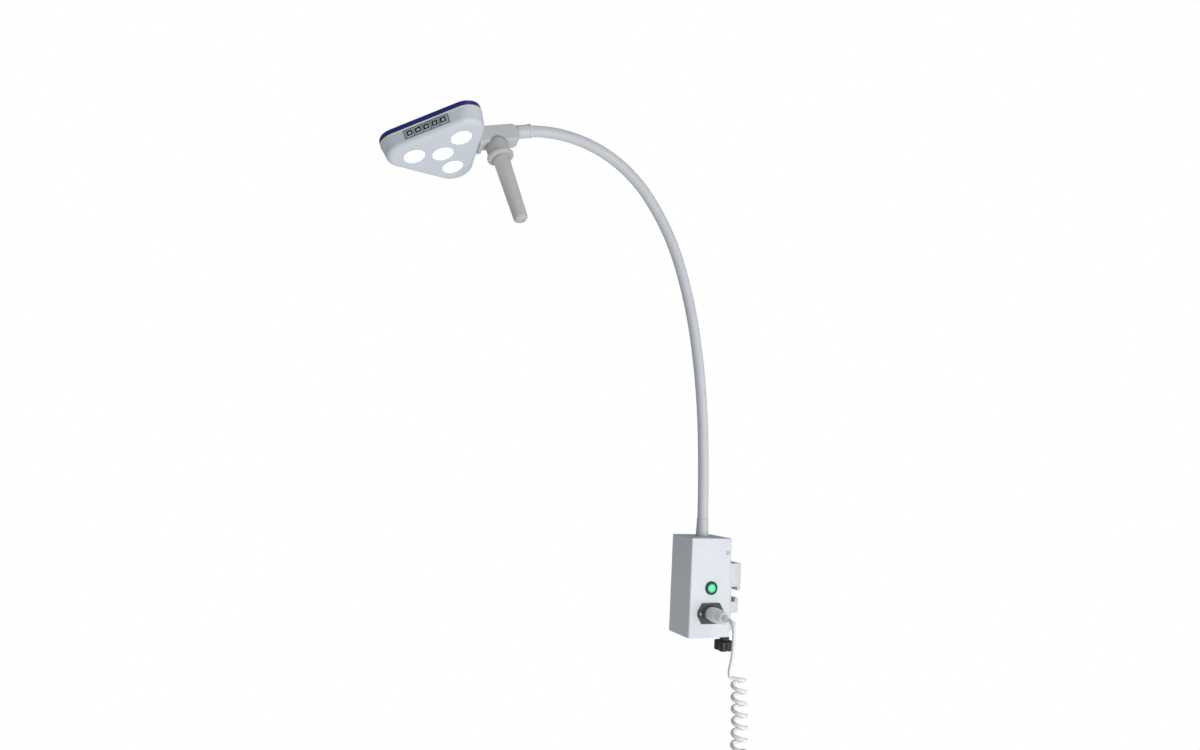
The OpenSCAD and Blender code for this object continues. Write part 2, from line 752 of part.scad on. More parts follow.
module heat_sink() {
    plate_h = 3;
    fin_t = 1.6;
    color("silver") at_head() translate([0, 0, board_level + led_board_t]) {
        linear_extrude(plate_h) rounded_triangle(board_tip, board_r);
        for (i = [-3:3]) translate([-22 + abs(i), i * 6 - fin_t / 2, plate_h - eps])
            cube([42 - 2 * abs(i), fin_t, 11]);
    }
}

module cover_screws() {
    color("silver") at_head() for (a = tips) rotate(a) translate([boss_dist, 0, 0]) {
        translate([0, 0, shell_h + gasket_t + rim_h - 3]) difference() {
            cylinder(r = 3, h = 2);
            translate([0, 0, 1]) cylinder(r = 1.3, h = 2, $fn = 6);
        }
        translate([0, 0, 10]) cylinder(r = 1.3, h = shell_h + gasket_t + rim_h - 13 + eps);
    }
}

module keypad_plate() {
    color("slategray") at_head() keypad_place() translate([0, 0, -keypad_t + 0.1])
        linear_extrude(keypad_t) difference() {
            rounded_rect(keypad_w - 0.4, keypad_h - 0.4, 1);
            for (i = [0:key_count - 1]) translate([(i - 2) * key_pitch, 0])
                square([key_w + 0.5, key_h + 0.5], center = true);
        }
}

module key(i) {
    color("lightsteelblue") at_head() keypad_place() translate([(i - 2) * key_pitch, 0, -keypad_t + 0.55])
        linear_extrude(1.1) rounded_rect(key_w, key_h, 1);
}

// ---- power lead ----
module line_connector() {
    color("lightgray") at_panel(inlet_z) difference() {
        union() {
            translate([0, 0, -13]) cylinder(r = 11, h = 17);
            translate([0, 0, 4]) cylinder(r = connector_r, h = 22);
            translate([0, 0, 26]) cylinder(r1 = connector_r, r2 = 8.5, h = 6);
        }
        for (p = pin_places) translate([p[0], p[1], -14]) cylinder(r = pin_r + 0.3, h = 14);
    }
}

module cord_relief() {
    color("lightgray") at_panel(inlet_z) translate([0, 0, 32]) difference() {
        cylinder(r1 = 8, r2 = 4.6, h = relief_len);
        for (i = [0:3]) translate([0, 0, 5 + 4.5 * i]) for (s = [0, 180]) rotate(s + 90 * (i % 2))
            translate([cord_d / 2 + 0.6, -6, 0]) cube([8, 12, 1.6]);
    }
}

module cord_lead() {
    color("white") swept_tube(lead_route, cord_d / 2, 12, [1, 0, 0], [0, 0, -1]);
}

module cord_coil() {
    color("white") translate([coil_x, coil_y, coil_bottom]) cylinder(r = coil_r, h = coil_h);
}

module cord_tail() {
    color("white") swept_tube(tail_route, cord_d / 2, 12, [0, 0, -1], [0, 0, -1]);
}

module mains_plug() {
    end = tail_route[len(tail_route) - 1];
    color("white") translate([end[0], end[1], plug_top - relief_len])
        cylinder(r1 = 8, r2 = 4.6, h = relief_len);
    color("white") translate([end[0], end[1], plug_top - relief_len - plug_h])
        cylinder(r = 18, h = plug_h);
    color("silver") for (s = [-1, 1])
        translate([end[0] + s * 9.5, end[1], plug_top - relief_len - plug_h - plug_pin_h])
            cylinder(r = 2.4, h = plug_pin_h);
}

clamp_body();
clamp_pad();
clamp_jaw();
clamp_screw();
clamp_knob();
clamp_bolts();
case_shell();
case_chassis();
case_screws();
supply_board();
power_module();
board_standoffs();
switch_housing();
switch_cap();
inlet_housing();
inlet_pins();
inlet_screws();
neck_socket();
neck_nut();
neck_boot();
neck_sleeve(0);  // sleeve_1
neck_sleeve(1);  // sleeve_2
neck_sleeve(2);  // sleeve_3
neck_sleeve(3);  // sleeve_4
neck_sleeve(4);  // sleeve_5
neck_sleeve(5);  // sleeve_6
neck_core(0);  // core_1
neck_core(1);  // core_2
neck_core(2);  // core_3
neck_core(3);  // core_4
neck_core(4);  // core_5
neck_core(5);  // core_6
neck_ferrule();
swivel_screw();
bracket();
bracket_screws();
handle_hub();
handle_flange();
handle_grip();
head_shell();
head_gasket();
head_cover();
lenses();
collimators();
led_chips();
led_board();
heat_sink();
cover_screws();
keypad_plate();
key(0);  // key_1
key(1);  // key_2
key(2);  // key_3
key(3);  // key_4
key(4);  // key_5
line_connector();
cord_relief();
cord_lead();
cord_coil();
cord_tail();
mains_plug();
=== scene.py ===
"""Looks of the rail-mounted surgical light: lead, gooseneck, handle, head, supply case, clamp."""
import json
import math

import bmesh
import bpy
from mathutils import Matrix, Vector

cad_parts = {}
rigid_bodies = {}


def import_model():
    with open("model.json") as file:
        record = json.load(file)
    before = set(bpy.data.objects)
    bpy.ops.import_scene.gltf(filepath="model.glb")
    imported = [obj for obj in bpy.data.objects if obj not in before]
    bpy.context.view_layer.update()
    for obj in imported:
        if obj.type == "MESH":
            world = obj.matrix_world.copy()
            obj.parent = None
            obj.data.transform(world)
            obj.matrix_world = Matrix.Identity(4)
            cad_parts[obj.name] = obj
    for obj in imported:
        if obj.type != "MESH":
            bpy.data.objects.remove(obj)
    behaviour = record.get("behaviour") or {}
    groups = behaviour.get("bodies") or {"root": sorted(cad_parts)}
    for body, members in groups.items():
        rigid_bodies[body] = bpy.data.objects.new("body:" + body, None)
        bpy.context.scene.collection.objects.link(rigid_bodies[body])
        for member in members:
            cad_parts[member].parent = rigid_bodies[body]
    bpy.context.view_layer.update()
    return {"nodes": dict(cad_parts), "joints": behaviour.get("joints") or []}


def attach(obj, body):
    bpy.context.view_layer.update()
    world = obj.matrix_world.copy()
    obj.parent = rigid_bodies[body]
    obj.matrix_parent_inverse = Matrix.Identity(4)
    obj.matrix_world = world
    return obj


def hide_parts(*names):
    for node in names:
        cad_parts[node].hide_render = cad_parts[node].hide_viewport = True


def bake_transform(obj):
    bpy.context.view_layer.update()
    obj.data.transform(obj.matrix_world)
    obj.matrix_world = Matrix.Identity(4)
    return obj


for default_object in list(bpy.data.objects):
    bpy.data.objects.remove(default_object)
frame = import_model()

MM = 0.001
TURN = 2 * math.pi
scene = bpy.context.scene
joints = {joint["name"]: joint for joint in frame["joints"]}


# ---- frames
def joint_pos(name):
    return Vector(joints[name]["pos_m"])


def joint_axis(name):
    return Vector(joints[name]["axis"]).normalized()


def frame_at(origin, x_axis, y_axis, z_axis):
    """Rigid frame: its columns are the axes, and its place is origin, in metres."""
    matrix = Matrix((x_axis, y_axis, z_axis)).transposed().to_4x4()
    matrix.translation = origin
    return matrix


def shifted(matrix, x, y, z):
    """The same frame moved by millimetres along its own axes."""
    return matrix @ Matrix.Translation(Vector((x, y, z)) * MM)


def spun(matrix, degrees):
    """The same frame turned about its own Z."""
    return matrix @ Matrix.Rotation(math.radians(degrees), 4, "Z")


# Supply case, and the line on its right side where the switch and the inlet sit, in millimetres
CASE_W, CASE_D = 68, 76
CASE_LOW, CASE_TOP = -67, 93
CASE_Y = -46
FITTINGS_Y = -45


def right_side(y, z):
    """Frame on the case's right side: X to the back, Y up, Z outward."""
    return frame_at((CASE_W / 2 * MM, y * MM, z * MM), (0, 1, 0), (0, 0, 1), (1, 0, 0))


SWITCH = right_side(FITTINGS_Y, 12.5)
INLET = right_side(FITTINGS_Y, -28)

# Bracket: Z along the arm from the gooseneck's end; handle: Z down its axis; head: Z into its back
HUB_Z = 48
FACE_DROP, HEAD_Z = 28, 136
light_dir = joint_axis("handle_pull")
arm_dir = joint_axis("head_swivel")
side_dir = (-light_dir).cross(arm_dir)
BRACKET = frame_at(joint_pos("head_swivel"), side_dir, -light_dir, arm_dir)
HANDLE = frame_at(shifted(BRACKET, 0, 0, HUB_Z).translation, side_dir, arm_dir, light_dir)
HEAD = frame_at(shifted(BRACKET, 0, -FACE_DROP, HEAD_Z).translation, -arm_dir, -side_dir, -light_dir)

# The head's round tips, and its keypad on one flat: X along it, Y to the head's back, Z outward
TIPS = (60, 180, 300)
KEYPAD_SIDE = 240
KEYPAD_Z = 16.6
HEAD_FLAT = 57.5
KEYPAD = shifted(spun(HEAD, KEYPAD_SIDE), HEAD_FLAT, 0, KEYPAD_Z)
KEYPAD = KEYPAD @ Matrix(((0, 0, 1, 0), (1, 0, 0, 0), (0, 1, 0, 0), (0, 0, 0, 1)))

# ---- camera
camera_data = bpy.data.cameras.new("camera")
camera = bpy.data.objects.new("camera", camera_data)
scene.collection.objects.link(camera)
camera_data.lens = 25.5
camera_data.sensor_width = 36
camera_data.clip_start = 0.02
camera_data.clip_end = 60
CAMERA_AT = Vector((1.25653, -0.78748, 0.21543))
CAMERA_FORWARD = Vector((-0.91448, 0.39293, 0.09655))
CAMERA_ROLL = 2.94
camera.matrix_world = (Matrix.Translation(CAMERA_AT)
                       @ CAMERA_FORWARD.to_track_quat("-Z", "Y").to_matrix().to_4x4()
                       @ Matrix.Rotation(math.radians(CAMERA_ROLL), 4, "Z"))
scene.camera = camera


# ---- mesh helpers
def mesh_object(name, verts, faces, place, angle=35):
    """Mesh from local millimetres, set in a rigid frame, smooth except at sharp angles."""
    mesh = bpy.data.meshes.new(name)
    mesh.from_pydata([Vector(v) * MM for v in verts], [], faces)
    mesh.validate()
    obj = bpy.data.objects.new(name, mesh)
    scene.collection.objects.link(obj)
    obj.matrix_world = place
    recalculate(obj)
    soften(obj, angle)
    return obj


def recalculate(obj):
    bm = bmesh.new()
    bm.from_mesh(obj.data)
    bmesh.ops.recalc_face_normals(bm, faces=bm.faces)
    bm.to_mesh(obj.data)
    bm.free()


def soften(obj, angle=35):
    obj.data.shade_smooth()
    obj.data.set_sharp_from_angle(angle=math.radians(angle))


def polar(radius, angle):
    return (radius * math.cos(angle), radius * math.sin(angle))


def fillet_path(points, count=5):
    """Open 2D path whose corners (x, y, radius) are rounded."""
    path = []
    for i, (x, y, radius) in enumerate(points):
        corner = Vector((x, y))
        if i in (0, len(points) - 1) or radius <= 0:
            path.append((x, y))
            continue
        before = (Vector(points[i - 1][:2]) - corner).normalized()
        after = (Vector(points[i + 1][:2]) - corner).normalized()
        half = math.acos(max(-1, min(1, before.dot(after)))) / 2
        if half > math.radians(89) or half < math.radians(1):
            path.append((x, y))
            continue
        centre = corner + (before + after).normalized() * radius / math.sin(half)
        first = corner + before * radius / math.tan(half) - centre
        last = corner + after * radius / math.tan(half) - centre
        for k in range(count + 1):
            path.append(tuple(centre + first.slerp(last, k / count).normalized() * radius))
    return path


def rings_mesh(rings, closed=False):
    """Vertices and faces that join rings of the same length; open ends get caps."""
    size = len(rings[0])
    verts = [v for ring in rings for v in ring]
    faces = []
    pairs = len(rings) if closed else len(rings) - 1
    for i in range(pairs):
        low = i * size
        high = ((i + 1) % len(rings)) * size
        for k in range(size):
            k2 = (k + 1) % size
            faces.append((low + k, low + k2, high + k2, high + k))
    if not closed:
        faces.append(tuple(range(size)))
        faces.append(tuple(range((len(rings) - 1) * size, len(rings) * size)))
    return verts, faces


def circle(radius, z, steps):
    return [(*polar(radius, TURN * k / steps), z) for k in range(steps)]


def revolve(name, profile, place, steps=64, closed=False):
    """Solid of revolution about local Z from (radius, height) points; ends close to caps."""
    return mesh_object(name, *rings_mesh([circle(r, z, steps) for r, z in profile], closed), place)


def solid_profile(points, count=5):
    """Profile from near the axis, round corners, back to near the axis."""
    return fillet_path([(0.01, points[0][1], 0)] + list(points) + [(0.01, points[-1][1], 0)], count)


def outline(corners, radius, inset=0.0, count=8):
    """Closed outline of a convex polygon, set in by inset, with round corners."""
    size = len(corners)
    following = corners[1:] + corners[:1]
    turn = sum(x * y2 - x2 * y for (x, y), (x2, y2) in zip(corners, following))
    points = [Vector(c) for c in (corners if turn > 0 else corners[::-1])]
    keep = max(radius - inset, 0.05)
    shape = []
    for i, corner in enumerate(points):
        before = (points[i - 1] - corner).normalized()
        after = (points[(i + 1) % size] - corner).normalized()
        half = math.acos(max(-1, min(1, before.dot(after)))) / 2
        inward = (before + after).normalized()
        centre = corner + inward * (inset + keep) / math.sin(half)
        first = Vector((before.y, -before.x))
        if first.dot(inward) > 0:
            first = -first
        last = Vector((-after.y, after.x))
        if last.dot(inward) > 0:
            last = -last
        for k in range(count + 1):
            shape.append(tuple(centre + first.slerp(last, k / count) * keep))
    return shape


def rectangle(width, height):
    return [(-width / 2, -height / 2), (width / 2, -height / 2), (width / 2, height / 2),
            (-width / 2, height / 2)]


def triangle(tip, radius):
    """Corners of the head's triangle: round tips of this radius lie at this distance."""
    reach = tip + radius
    return [polar(reach, math.radians(a)) for a in TIPS]


def slab(name, corners, radius, levels, place, count=8):
    """Stack of outlines; levels are (inset, height)."""
    rings = [[(x, y, z) for x, y in outline(corners, radius, inset, count)] for inset, z in levels]
    return mesh_object(name, *rings_mesh(rings), place)


def bevelled(z0, z1, bevel, steps=4):
    """Levels of a slab from z0 to z1 whose two edges are rounded."""
    low = [(bevel * (1 - math.sin(math.radians(90 * i / steps))),
            z0 + bevel * (1 - math.cos(math.radians(90 * i / steps)))) for i in range(steps + 1)]
    return low + [(inset, z1 - (z - z0)) for inset, z in reversed(low)]


def frustum(name, points, place, steps=64):
    """Round cutter or post from (radius, height) points."""
    return revolve(name, solid_profile([(r, z, 0) for r, z in points]), place, steps)


def combine(obj, others, operation="DIFFERENCE", angle=35):
    """Boolean of obj with a list of objects, which are used up."""
    for other in others:
        modifier = obj.modifiers.new("combine", "BOOLEAN")
        modifier.operation = operation
        modifier.solver = "EXACT"
        modifier.object = other
    apply_modifiers(obj)
    for other in others:
        bpy.data.objects.remove(other)
    bm = bmesh.new()
    bm.from_mesh(obj.data)
    bmesh.ops.remove_doubles(bm, verts=bm.verts, dist=2e-6)
    bm.to_mesh(obj.data)
    bm.free()
    soften(obj, angle)
    return obj


def apply_modifiers(obj):
    bpy.context.view_layer.update()
    graph = bpy.context.evaluated_depsgraph_get()
    mesh = bpy.data.meshes.new_from_object(obj.evaluated_get(graph))
    obj.modifiers.clear()
    obj.data = mesh


def joined(name, parts):
    """One object from several, in the first one's frame."""
    first = parts[0]
    bm = bmesh.new()
    for part in parts:
        part_mesh = part.data.copy()
        part_mesh.transform(first.matrix_world.inverted() @ part.matrix_world)
        bm.from_mesh(part_mesh)
        bpy.data.meshes.remove(part_mesh)
    for part in parts[1:]:
        bpy.data.objects.remove(part)
    bm.to_mesh(first.data)
    bm.free()
    first.name = name
    soften(first)
    return first


def finish_piece(obj, material, body=None, replaces=()):
    """Material, record slot, body and the CAD nodes that the piece stands for."""
    obj.data.materials.clear()
    obj.data.materials.append(MATERIALS[material])
    if body:
        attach(obj, body)
    if replaces:
        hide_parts(*replaces)
    return obj


def softened(node, width):
    """New piece from a CAD node's mesh, with its hard edges rounded."""
    source = frame["nodes"][node]
    obj = bpy.data.objects.new(node + "_soft", source.data.copy())
    scene.collection.objects.link(obj)
    bm = bmesh.new()
    bm.from_mesh(obj.data)
    bmesh.ops.remove_doubles(bm, verts=bm.verts, dist=1e-5)
    bmesh.ops.dissolve_limit(bm, angle_limit=math.radians(2), verts=bm.verts, edges=bm.edges)
    bm.to_mesh(obj.data)
    bm.free()
    bevel = obj.modifiers.new("edges", "BEVEL")
    bevel.width = width * MM
    bevel.segments = 2
    bevel.limit_method = "ANGLE"
    bevel.angle_limit = math.radians(50)
    bevel.use_clamp_overlap = True
    apply_modifiers(obj)
    soften(obj)
    return obj


# ---- materials
MATERIALS = {}


class Nodes:
    """Small helper to wire a material."""

    def __init__(self, name):
        self.material = bpy.data.materials.new(name)
        self.material.use_nodes = True
        self.tree = self.material.node_tree
        self.shader = self.tree.nodes["Principled BSDF"]
        self.coords = self.add("ShaderNodeTexCoord").outputs["Object"]
        MATERIALS[name] = self.material

    def add(self, kind, **values):
        node = self.tree.nodes.new(kind)
        for key, value in values.items():
            setattr(node, key, value)
        return node

    def link(self, output, target):
        self.tree.links.new(output, target)

    def noise(self, scale, detail=2.0, roughness=0.5, stretch=None):
        node = self.add("ShaderNodeTexNoise")
        node.inputs["Scale"].default_value = scale
        node.inputs["Detail"].default_value = detail
        node.inputs["Roughness"].default_value = roughness
        source = self.coords
        if stretch:
            mapping = self.add("ShaderNodeMapping")
            mapping.inputs["Scale"].default_value = stretch
            self.link(self.coords, mapping.inputs["Vector"])
            source = mapping.outputs["Vector"]
        self.link(source, node.inputs["Vector"])
        return node.outputs["Fac"]

    def voronoi(self, scale):
        node = self.add("ShaderNodeTexVoronoi")
        node.inputs["Scale"].default_value = scale
        self.link(self.coords, node.inputs["Vector"])
        return node.outputs["Distance"]

    def wave(self, scale, kind="BANDS", distortion=0.0):
        """Bands along local Z, or rings about it."""
        node = self.add("ShaderNodeTexWave", wave_type=kind, bands_direction="Z", rings_direction="Z")
        node.inputs["Scale"].default_value = scale
        node.inputs["Distortion"].default_value = distortion
        self.link(self.coords, node.inputs["Vector"])
        return node.outputs["Fac"]

    def ramp(self, value, stops):
        node = self.add("ShaderNodeValToRGB")
        elements = node.color_ramp.elements
        while len(elements) < len(stops):
            elements.new(0.5)
        for element, (position, colour) in zip(elements, stops):
            element.position = position
            element.color = (*colour, 1)
        self.link(value, node.inputs["Fac"])
        return node.outputs["Color"]

    def span(self, value, low, high, source=(0.3, 0.7)):
        """The value, spread from the source range to low and high."""
        node = self.add("ShaderNodeMapRange")
        node.inputs["From Min"].default_value = source[0]
        node.inputs["From Max"].default_value = source[1]
        node.inputs["To Min"].default_value = low
        node.inputs["To Max"].default_value = high
        self.link(value, node.inputs["Value"])
        return node.outputs["Result"]

    def bump(self, value, strength, distance):
        node = self.add("ShaderNodeBump")
        node.inputs["Strength"].default_value = strength
        node.inputs["Distance"].default_value = distance
        self.link(value, node.inputs["Height"])
        previous = self.shader.inputs["Normal"].links
        if previous:
            self.link(previous[0].from_socket, node.inputs["Normal"])
        self.link(node.outputs["Normal"], self.shader.inputs["Normal"])

    def colour(self, output):
        self.link(output, self.shader.inputs["Base Color"])

    def set(self, **values):
        for key, value in values.items():
            self.shader.inputs[key.replace("_", " ")].default_value = value


def moulded(name, dark, light, rough, grain=1600, grain_depth=0.00004, waviness=25,
            wave_depth=0.0004, **constants):
    """Moulded or coated surface: faint mottling, a fine grain and slow waves."""
    n = Nodes(name)
    cloud = n.noise(waviness, 3)
    n.colour(n.ramp(cloud, [(0.3, dark), (0.7, light)]))
    n.link(n.span(n.noise(waviness * 3, 4), *rough), n.shader.inputs["Roughness"])
    n.bump(n.noise(grain, 2), 0.35, grain_depth)
    n.bump(n.noise(waviness * 5, 1), 0.12, wave_depth)
    n.set(**constants)


def metal(name, dark, light, rough, stretch=(1, 1, 40)):
    """Machined metal: streaks along one way and small pits."""
    n = Nodes(name)
    streaks = n.noise(60, 4, 0.6, stretch)
    n.colour(n.ramp(streaks, [(0.3, dark), (0.7, light)]))
    n.link(n.span(streaks, *rough), n.shader.inputs["Roughness"])
    n.bump(streaks, 0.25, 0.00005)
    n.bump(n.noise(900, 3), 0.15, 0.00003)
    n.set(Metallic=1.0)


def grey(value, blue=0.0):
    return (value, value + blue * 0.4, value + blue)


# Name, darkest and lightest colour, roughness range, grain scale and depth, waviness
moulded("white_paint", grey(0.715, 0.065), grey(0.755, 0.065), (0.36, 0.46), 900, 0.00012, 18)
moulded("bracket_paint", grey(0.56, 0.03), grey(0.60, 0.03), (0.38, 0.48), 1200, 0.0001, 22)
moulded("clamp_paint", grey(0.66, 0.03), grey(0.70, 0.03), (0.40, 0.52), 1100, 0.0001, 22)
moulded("white_sleeve", grey(0.61, 0.045), grey(0.64, 0.045), (0.46, 0.56), 900, 0.00003, 22,
        wave_depth=0.00008)
moulded("head_plastic", grey(0.66, 0.09), grey(0.695, 0.09), (0.40, 0.50), 1900, 0.00007, 16)
moulded("blue_plastic", (0.010, 0.018, 0.21), (0.016, 0.028, 0.27), (0.18, 0.30), 1500, 0.00003, 20,
        Coat_Weight=0.4, Coat_Roughness=0.15)
moulded("cream_rubber", (0.70, 0.68, 0.58), (0.78, 0.76, 0.66), (0.55, 0.68), 1300, 0.00006, 40)
moulded("handle_grey", grey(0.54, -0.03), grey(0.58, -0.03), (0.46, 0.58), 1700, 0.0001, 24)
moulded("hub_grey", grey(0.46, -0.03), grey(0.495, -0.03), (0.48, 0.6), 1700, 0.0001, 24)
moulded("black_plastic", grey(0.010), grey(0.018), (0.38, 0.52), 1500, 0.00012, 40)
moulded("inlet_plastic", grey(0.028, 0.006), grey(0.040, 0.008), (0.40, 0.52), 1700, 0.0001, 40)
moulded("module_black", grey(0.015), grey(0.025), (0.42, 0.58), 1300, 0.00015, 50)
moulded("pad_rubber", grey(0.040), grey(0.060), (0.7, 0.85), 500, 0.0003, 60)
moulded("plug_grey", grey(0.90, 0.015), grey(0.93, 0.015), (0.38, 0.5), 1600, 0.00006, 30)
moulded("cord_white", grey(0.88, 0.02), grey(0.91, 0.02), (0.34, 0.46), 900, 0.00004, 45)
moulded("keypad_blue", (0.37, 0.42, 0.49), (0.41, 0.46, 0.53), (0.42, 0.52), 1500, 0.00004, 60)
moulded("key_film", (0.68, 0.74, 0.82), (0.72, 0.78, 0.86), (0.38, 0.48), 2000, 0.00004, 60)
moulded("key_ink", grey(0.004, 0.002), grey(0.007, 0.003), (0.5, 0.6), 2000, 0.00004, 60,
        Specular_IOR_Level=0.1)
metal("steel", grey(0.36), grey(0.48), (0.40, 0.56))
metal("core_steel", grey(0.30), grey(0.45), (0.30, 0.48))
metal("aluminium", grey(0.62), grey(0.74), (0.32, 0.5), (1, 30, 1))
metal("brass", (0.62, 0.44, 0.16), (0.78, 0.58, 0.25), (0.25, 0.4))
metal("reflector", grey(0.80), grey(0.90), (0.08, 0.18), (1, 1, 1))


def board_material(name, mask, mask_dark, track, stripes):
    """Printed board: solder mask with tracks and pads under it."""
    n = Nodes(name)
    tracks = n.wave(stripes, distortion=6.0)
    grid = n.voronoi(170)
    lines = n.ramp(tracks, [(0.47, mask), (0.5, track), (0.53, mask)])
    pads = n.ramp(grid, [(0.10, (1, 1, 1)), (0.14, (0, 0, 0))])
    mix = n.add("ShaderNodeMix", data_type="RGBA")
    n.link(pads, mix.inputs["Factor"])
    n.link(lines, mix.inputs["A"])
    mix.inputs["B"].default_value = (*mask_dark, 1)
    n.colour(mix.outputs["Result"])
    n.link(n.span(n.noise(80), 0.3, 0.45), n.shader.inputs["Roughness"])
    n.bump(tracks, 0.2, 0.00005)


board_material("pcb_green", (0.012, 0.12, 0.045), (0.45, 0.42, 0.30), (0.02, 0.19, 0.07), 60)
board_material("pcb_white", (0.66, 0.67, 0.66), (0.50, 0.48, 0.40), (0.74, 0.75, 0.74), 50)


def glowing(name, stops, strength, reach, rough):
    """Lit surface whose colour runs from its own centre out to reach, with fine moulded rings."""
    n = Nodes(name)
    length = n.add("ShaderNodeVectorMath", operation="LENGTH")
    flat = n.add("ShaderNodeVectorMath", operation="MULTIPLY")
    n.link(n.coords, flat.inputs[0])
    flat.inputs[1].default_value = (1, 1, 0)
    n.link(flat.outputs["Vector"], length.inputs[0])
    radial = n.span(length.outputs["Value"], 0, 1, (0, reach))
    colours = n.ramp(radial, stops)
    n.colour(colours)
    n.link(colours, n.shader.inputs["Emission Color"])
    n.set(Emission_Strength=strength)
    n.link(n.span(n.noise(120), *rough), n.shader.inputs["Roughness"])
    n.bump(n.wave(150, "RINGS"), 0.25, 0.0001)
    n.bump(n.noise(700), 0.1, 0.00004)


glowing("lens_clear", [(0.0, (1, 1, 1)), (0.80, (0.97, 0.99, 1)), (0.93, (0.80, 0.86, 0.92)),
                       (1.0, (0.60, 0.68, 0.76))], 1.6, 0.0168, (0.08, 0.16))
glowing("green_cap", [(0.0, (0.10, 0.84, 0.40)), (0.55, (0.05, 0.68, 0.28)),
                      (0.9, (0.015, 0.36, 0.12)), (1.0, (0.01, 0.2, 0.07))], 0.55, 0.0079, (0.10, 0.2))
glowing("led_yellow", [(0.0, (0.95, 0.80, 0.30)), (0.8, (0.85, 0.66, 0.15)), (1.0, (0.8, 0.78, 0.7))],
        0.2, 0.005, (0.3, 0.4))

# Every CAD node gets the look that is named after its slot
for node_object in frame["nodes"].values():
    for material_slot in node_object.material_slots:
        material_slot.material = MATERIALS[material_slot.material.name.split(".")[0]]

# ---- lead
# The CAD's route of the straight drop and of the tail, and the coil between them, in millimetres
LEAD_ROUTE = [(90, -45, -28), (96, -45.2, -28.6), (102, -45.8, -31), (106.5, -46.5, -35.5),
              (109.5, -47.2, -42), (111, -47.8, -50), (112, -48.3, -60), (112, -49, -71),
              (112, -50.2, -82), (112, -51.5, -91), (112, -51.5, -98), (112, -49, -104),
              (112, -45, -109), (112, -43.5, -113)]
TAIL_ROUTE = [(112, -43.5, -356), (112, -42, -362), (112, -39, -369), (112, -36, -376),
              (112, -35, -384)]
CORD_D = 6
COIL_AXIS = (112, -33)
COIL_TURN_R = 10.5
COIL_TOP = -110.5
COIL_TURNS = 23
COIL_STEPS, LINE_STEPS = 20, 4
# The coil hooks on flat, is open for OPEN_TURNS and then closed; its first turns lean forward and
# are a little narrower, and its end drops steeply into the tail
OPEN_PITCH, CLOSED_PITCH = 16.7, 7
OPEN_TURNS, HOOK_TURNS = 6, 0.45
LEAN, LEAN_TURNS, LEAN_SHRINK = 5, 4, 0.8
END_DROP, END_TURNS = 90, 0.3


def smooth_line(points):
    """Catmull-Rom line through points."""
    line = []
    ends = [points[0]] + list(points) + [points[-1]]
    for i in range(1, len(ends) - 2):
        p0, p1, p2, p3 = (Vector(p) for p in ends[i - 1:i + 3])
        for k in range(LINE_STEPS):
            t = k / LINE_STEPS
            line.append(0.5 * (2 * p1 + (p2 - p0) * t + (2 * p0 - 5 * p1 + 4 * p2 - p3) * t * t
                               + (3 * p1 - p0 - 3 * p2 + p3) * t ** 3))
    return line + [Vector(points[-1])]


def coil_pitch(turn):
    """Drop per turn: flat at the hook, open, then closed up, and steep at the end."""
    hook = max(0, 1 - turn / HOOK_TURNS)
    ease_out = END_DROP * max(0, 1 - (COIL_TURNS - turn) / END_TURNS) ** 2
    closing = max(0, min(1, turn - OPEN_TURNS))
    return (OPEN_PITCH + (CLOSED_PITCH - OPEN_PITCH) * closing) * (1 - hook) + ease_out


def coil_line():
    """Helix that leans forward over its first turns and ends level with the tail's start."""
    points = []
    height = COIL_TOP
    for i in range(COIL_TURNS * COIL_STEPS + 1):
        turn = i / COIL_STEPS
        lean = max(0, 1 - turn / LEAN_TURNS)
        x, y = polar(COIL_TURN_R - LEAN_SHRINK * lean, TURN * (turn + 0.75))
        points.append(Vector((COIL_AXIS[0] + x, COIL_AXIS[1] + y - LEAN * lean, height)))
        height -= coil_pitch((i + 0.5) / COIL_STEPS) / COIL_STEPS
    drop = (points[-1].z - COIL_TOP) / (TAIL_ROUTE[0][2] - COIL_TOP)
    for point in points:
        point.z = COIL_TOP + (point.z - COIL_TOP) / drop
    return points


# The drawn lead starts inside its connector and ends inside its plug. Above the coil it hooks
# forward in place of the route's last five points, and it meets the helix at the third point.
INSIDE_CONNECTOR = [(72, -45, -28), (80, -45, -28)]
INSIDE_PLUG = [(112, -35, -394)]
HOOK = [(112, -52.4, -91), (112, -53.8, -98), (112.2, -54, -104.5), (113.2, -52.6, -109)]
coil = coil_line()
straight_line = smooth_line(INSIDE_CONNECTOR + LEAD_ROUTE[:-5] + HOOK + coil[2:5])[:-2 * LINE_STEPS]
cord_line = straight_line + coil[3:-1] + smooth_line(TAIL_ROUTE + INSIDE_PLUG)
cord_line = [p * MM for p in cord_line]
cord_curve = bpy.data.curves.new("mains_lead", "CURVE")
cord_curve.dimensions = "3D"
cord_curve.bevel_depth = CORD_D / 2 * MM
cord_curve.bevel_resolution = 5
cord_curve.use_fill_caps = True
spline = cord_curve.splines.new("POLY")
spline.points.add(len(cord_line) - 1)
for spline_point, place in zip(spline.points, cord_line):
    spline_point.co = (*place, 1)
mains_lead = bpy.data.objects.new("mains_lead", cord_curve)
scene.collection.objects.link(mains_lead)
cord_curve.materials.append(MATERIALS["cord_white"])
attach(mains_lead, "lead")
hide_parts("cord_lead", "cord_coil", "cord_tail")

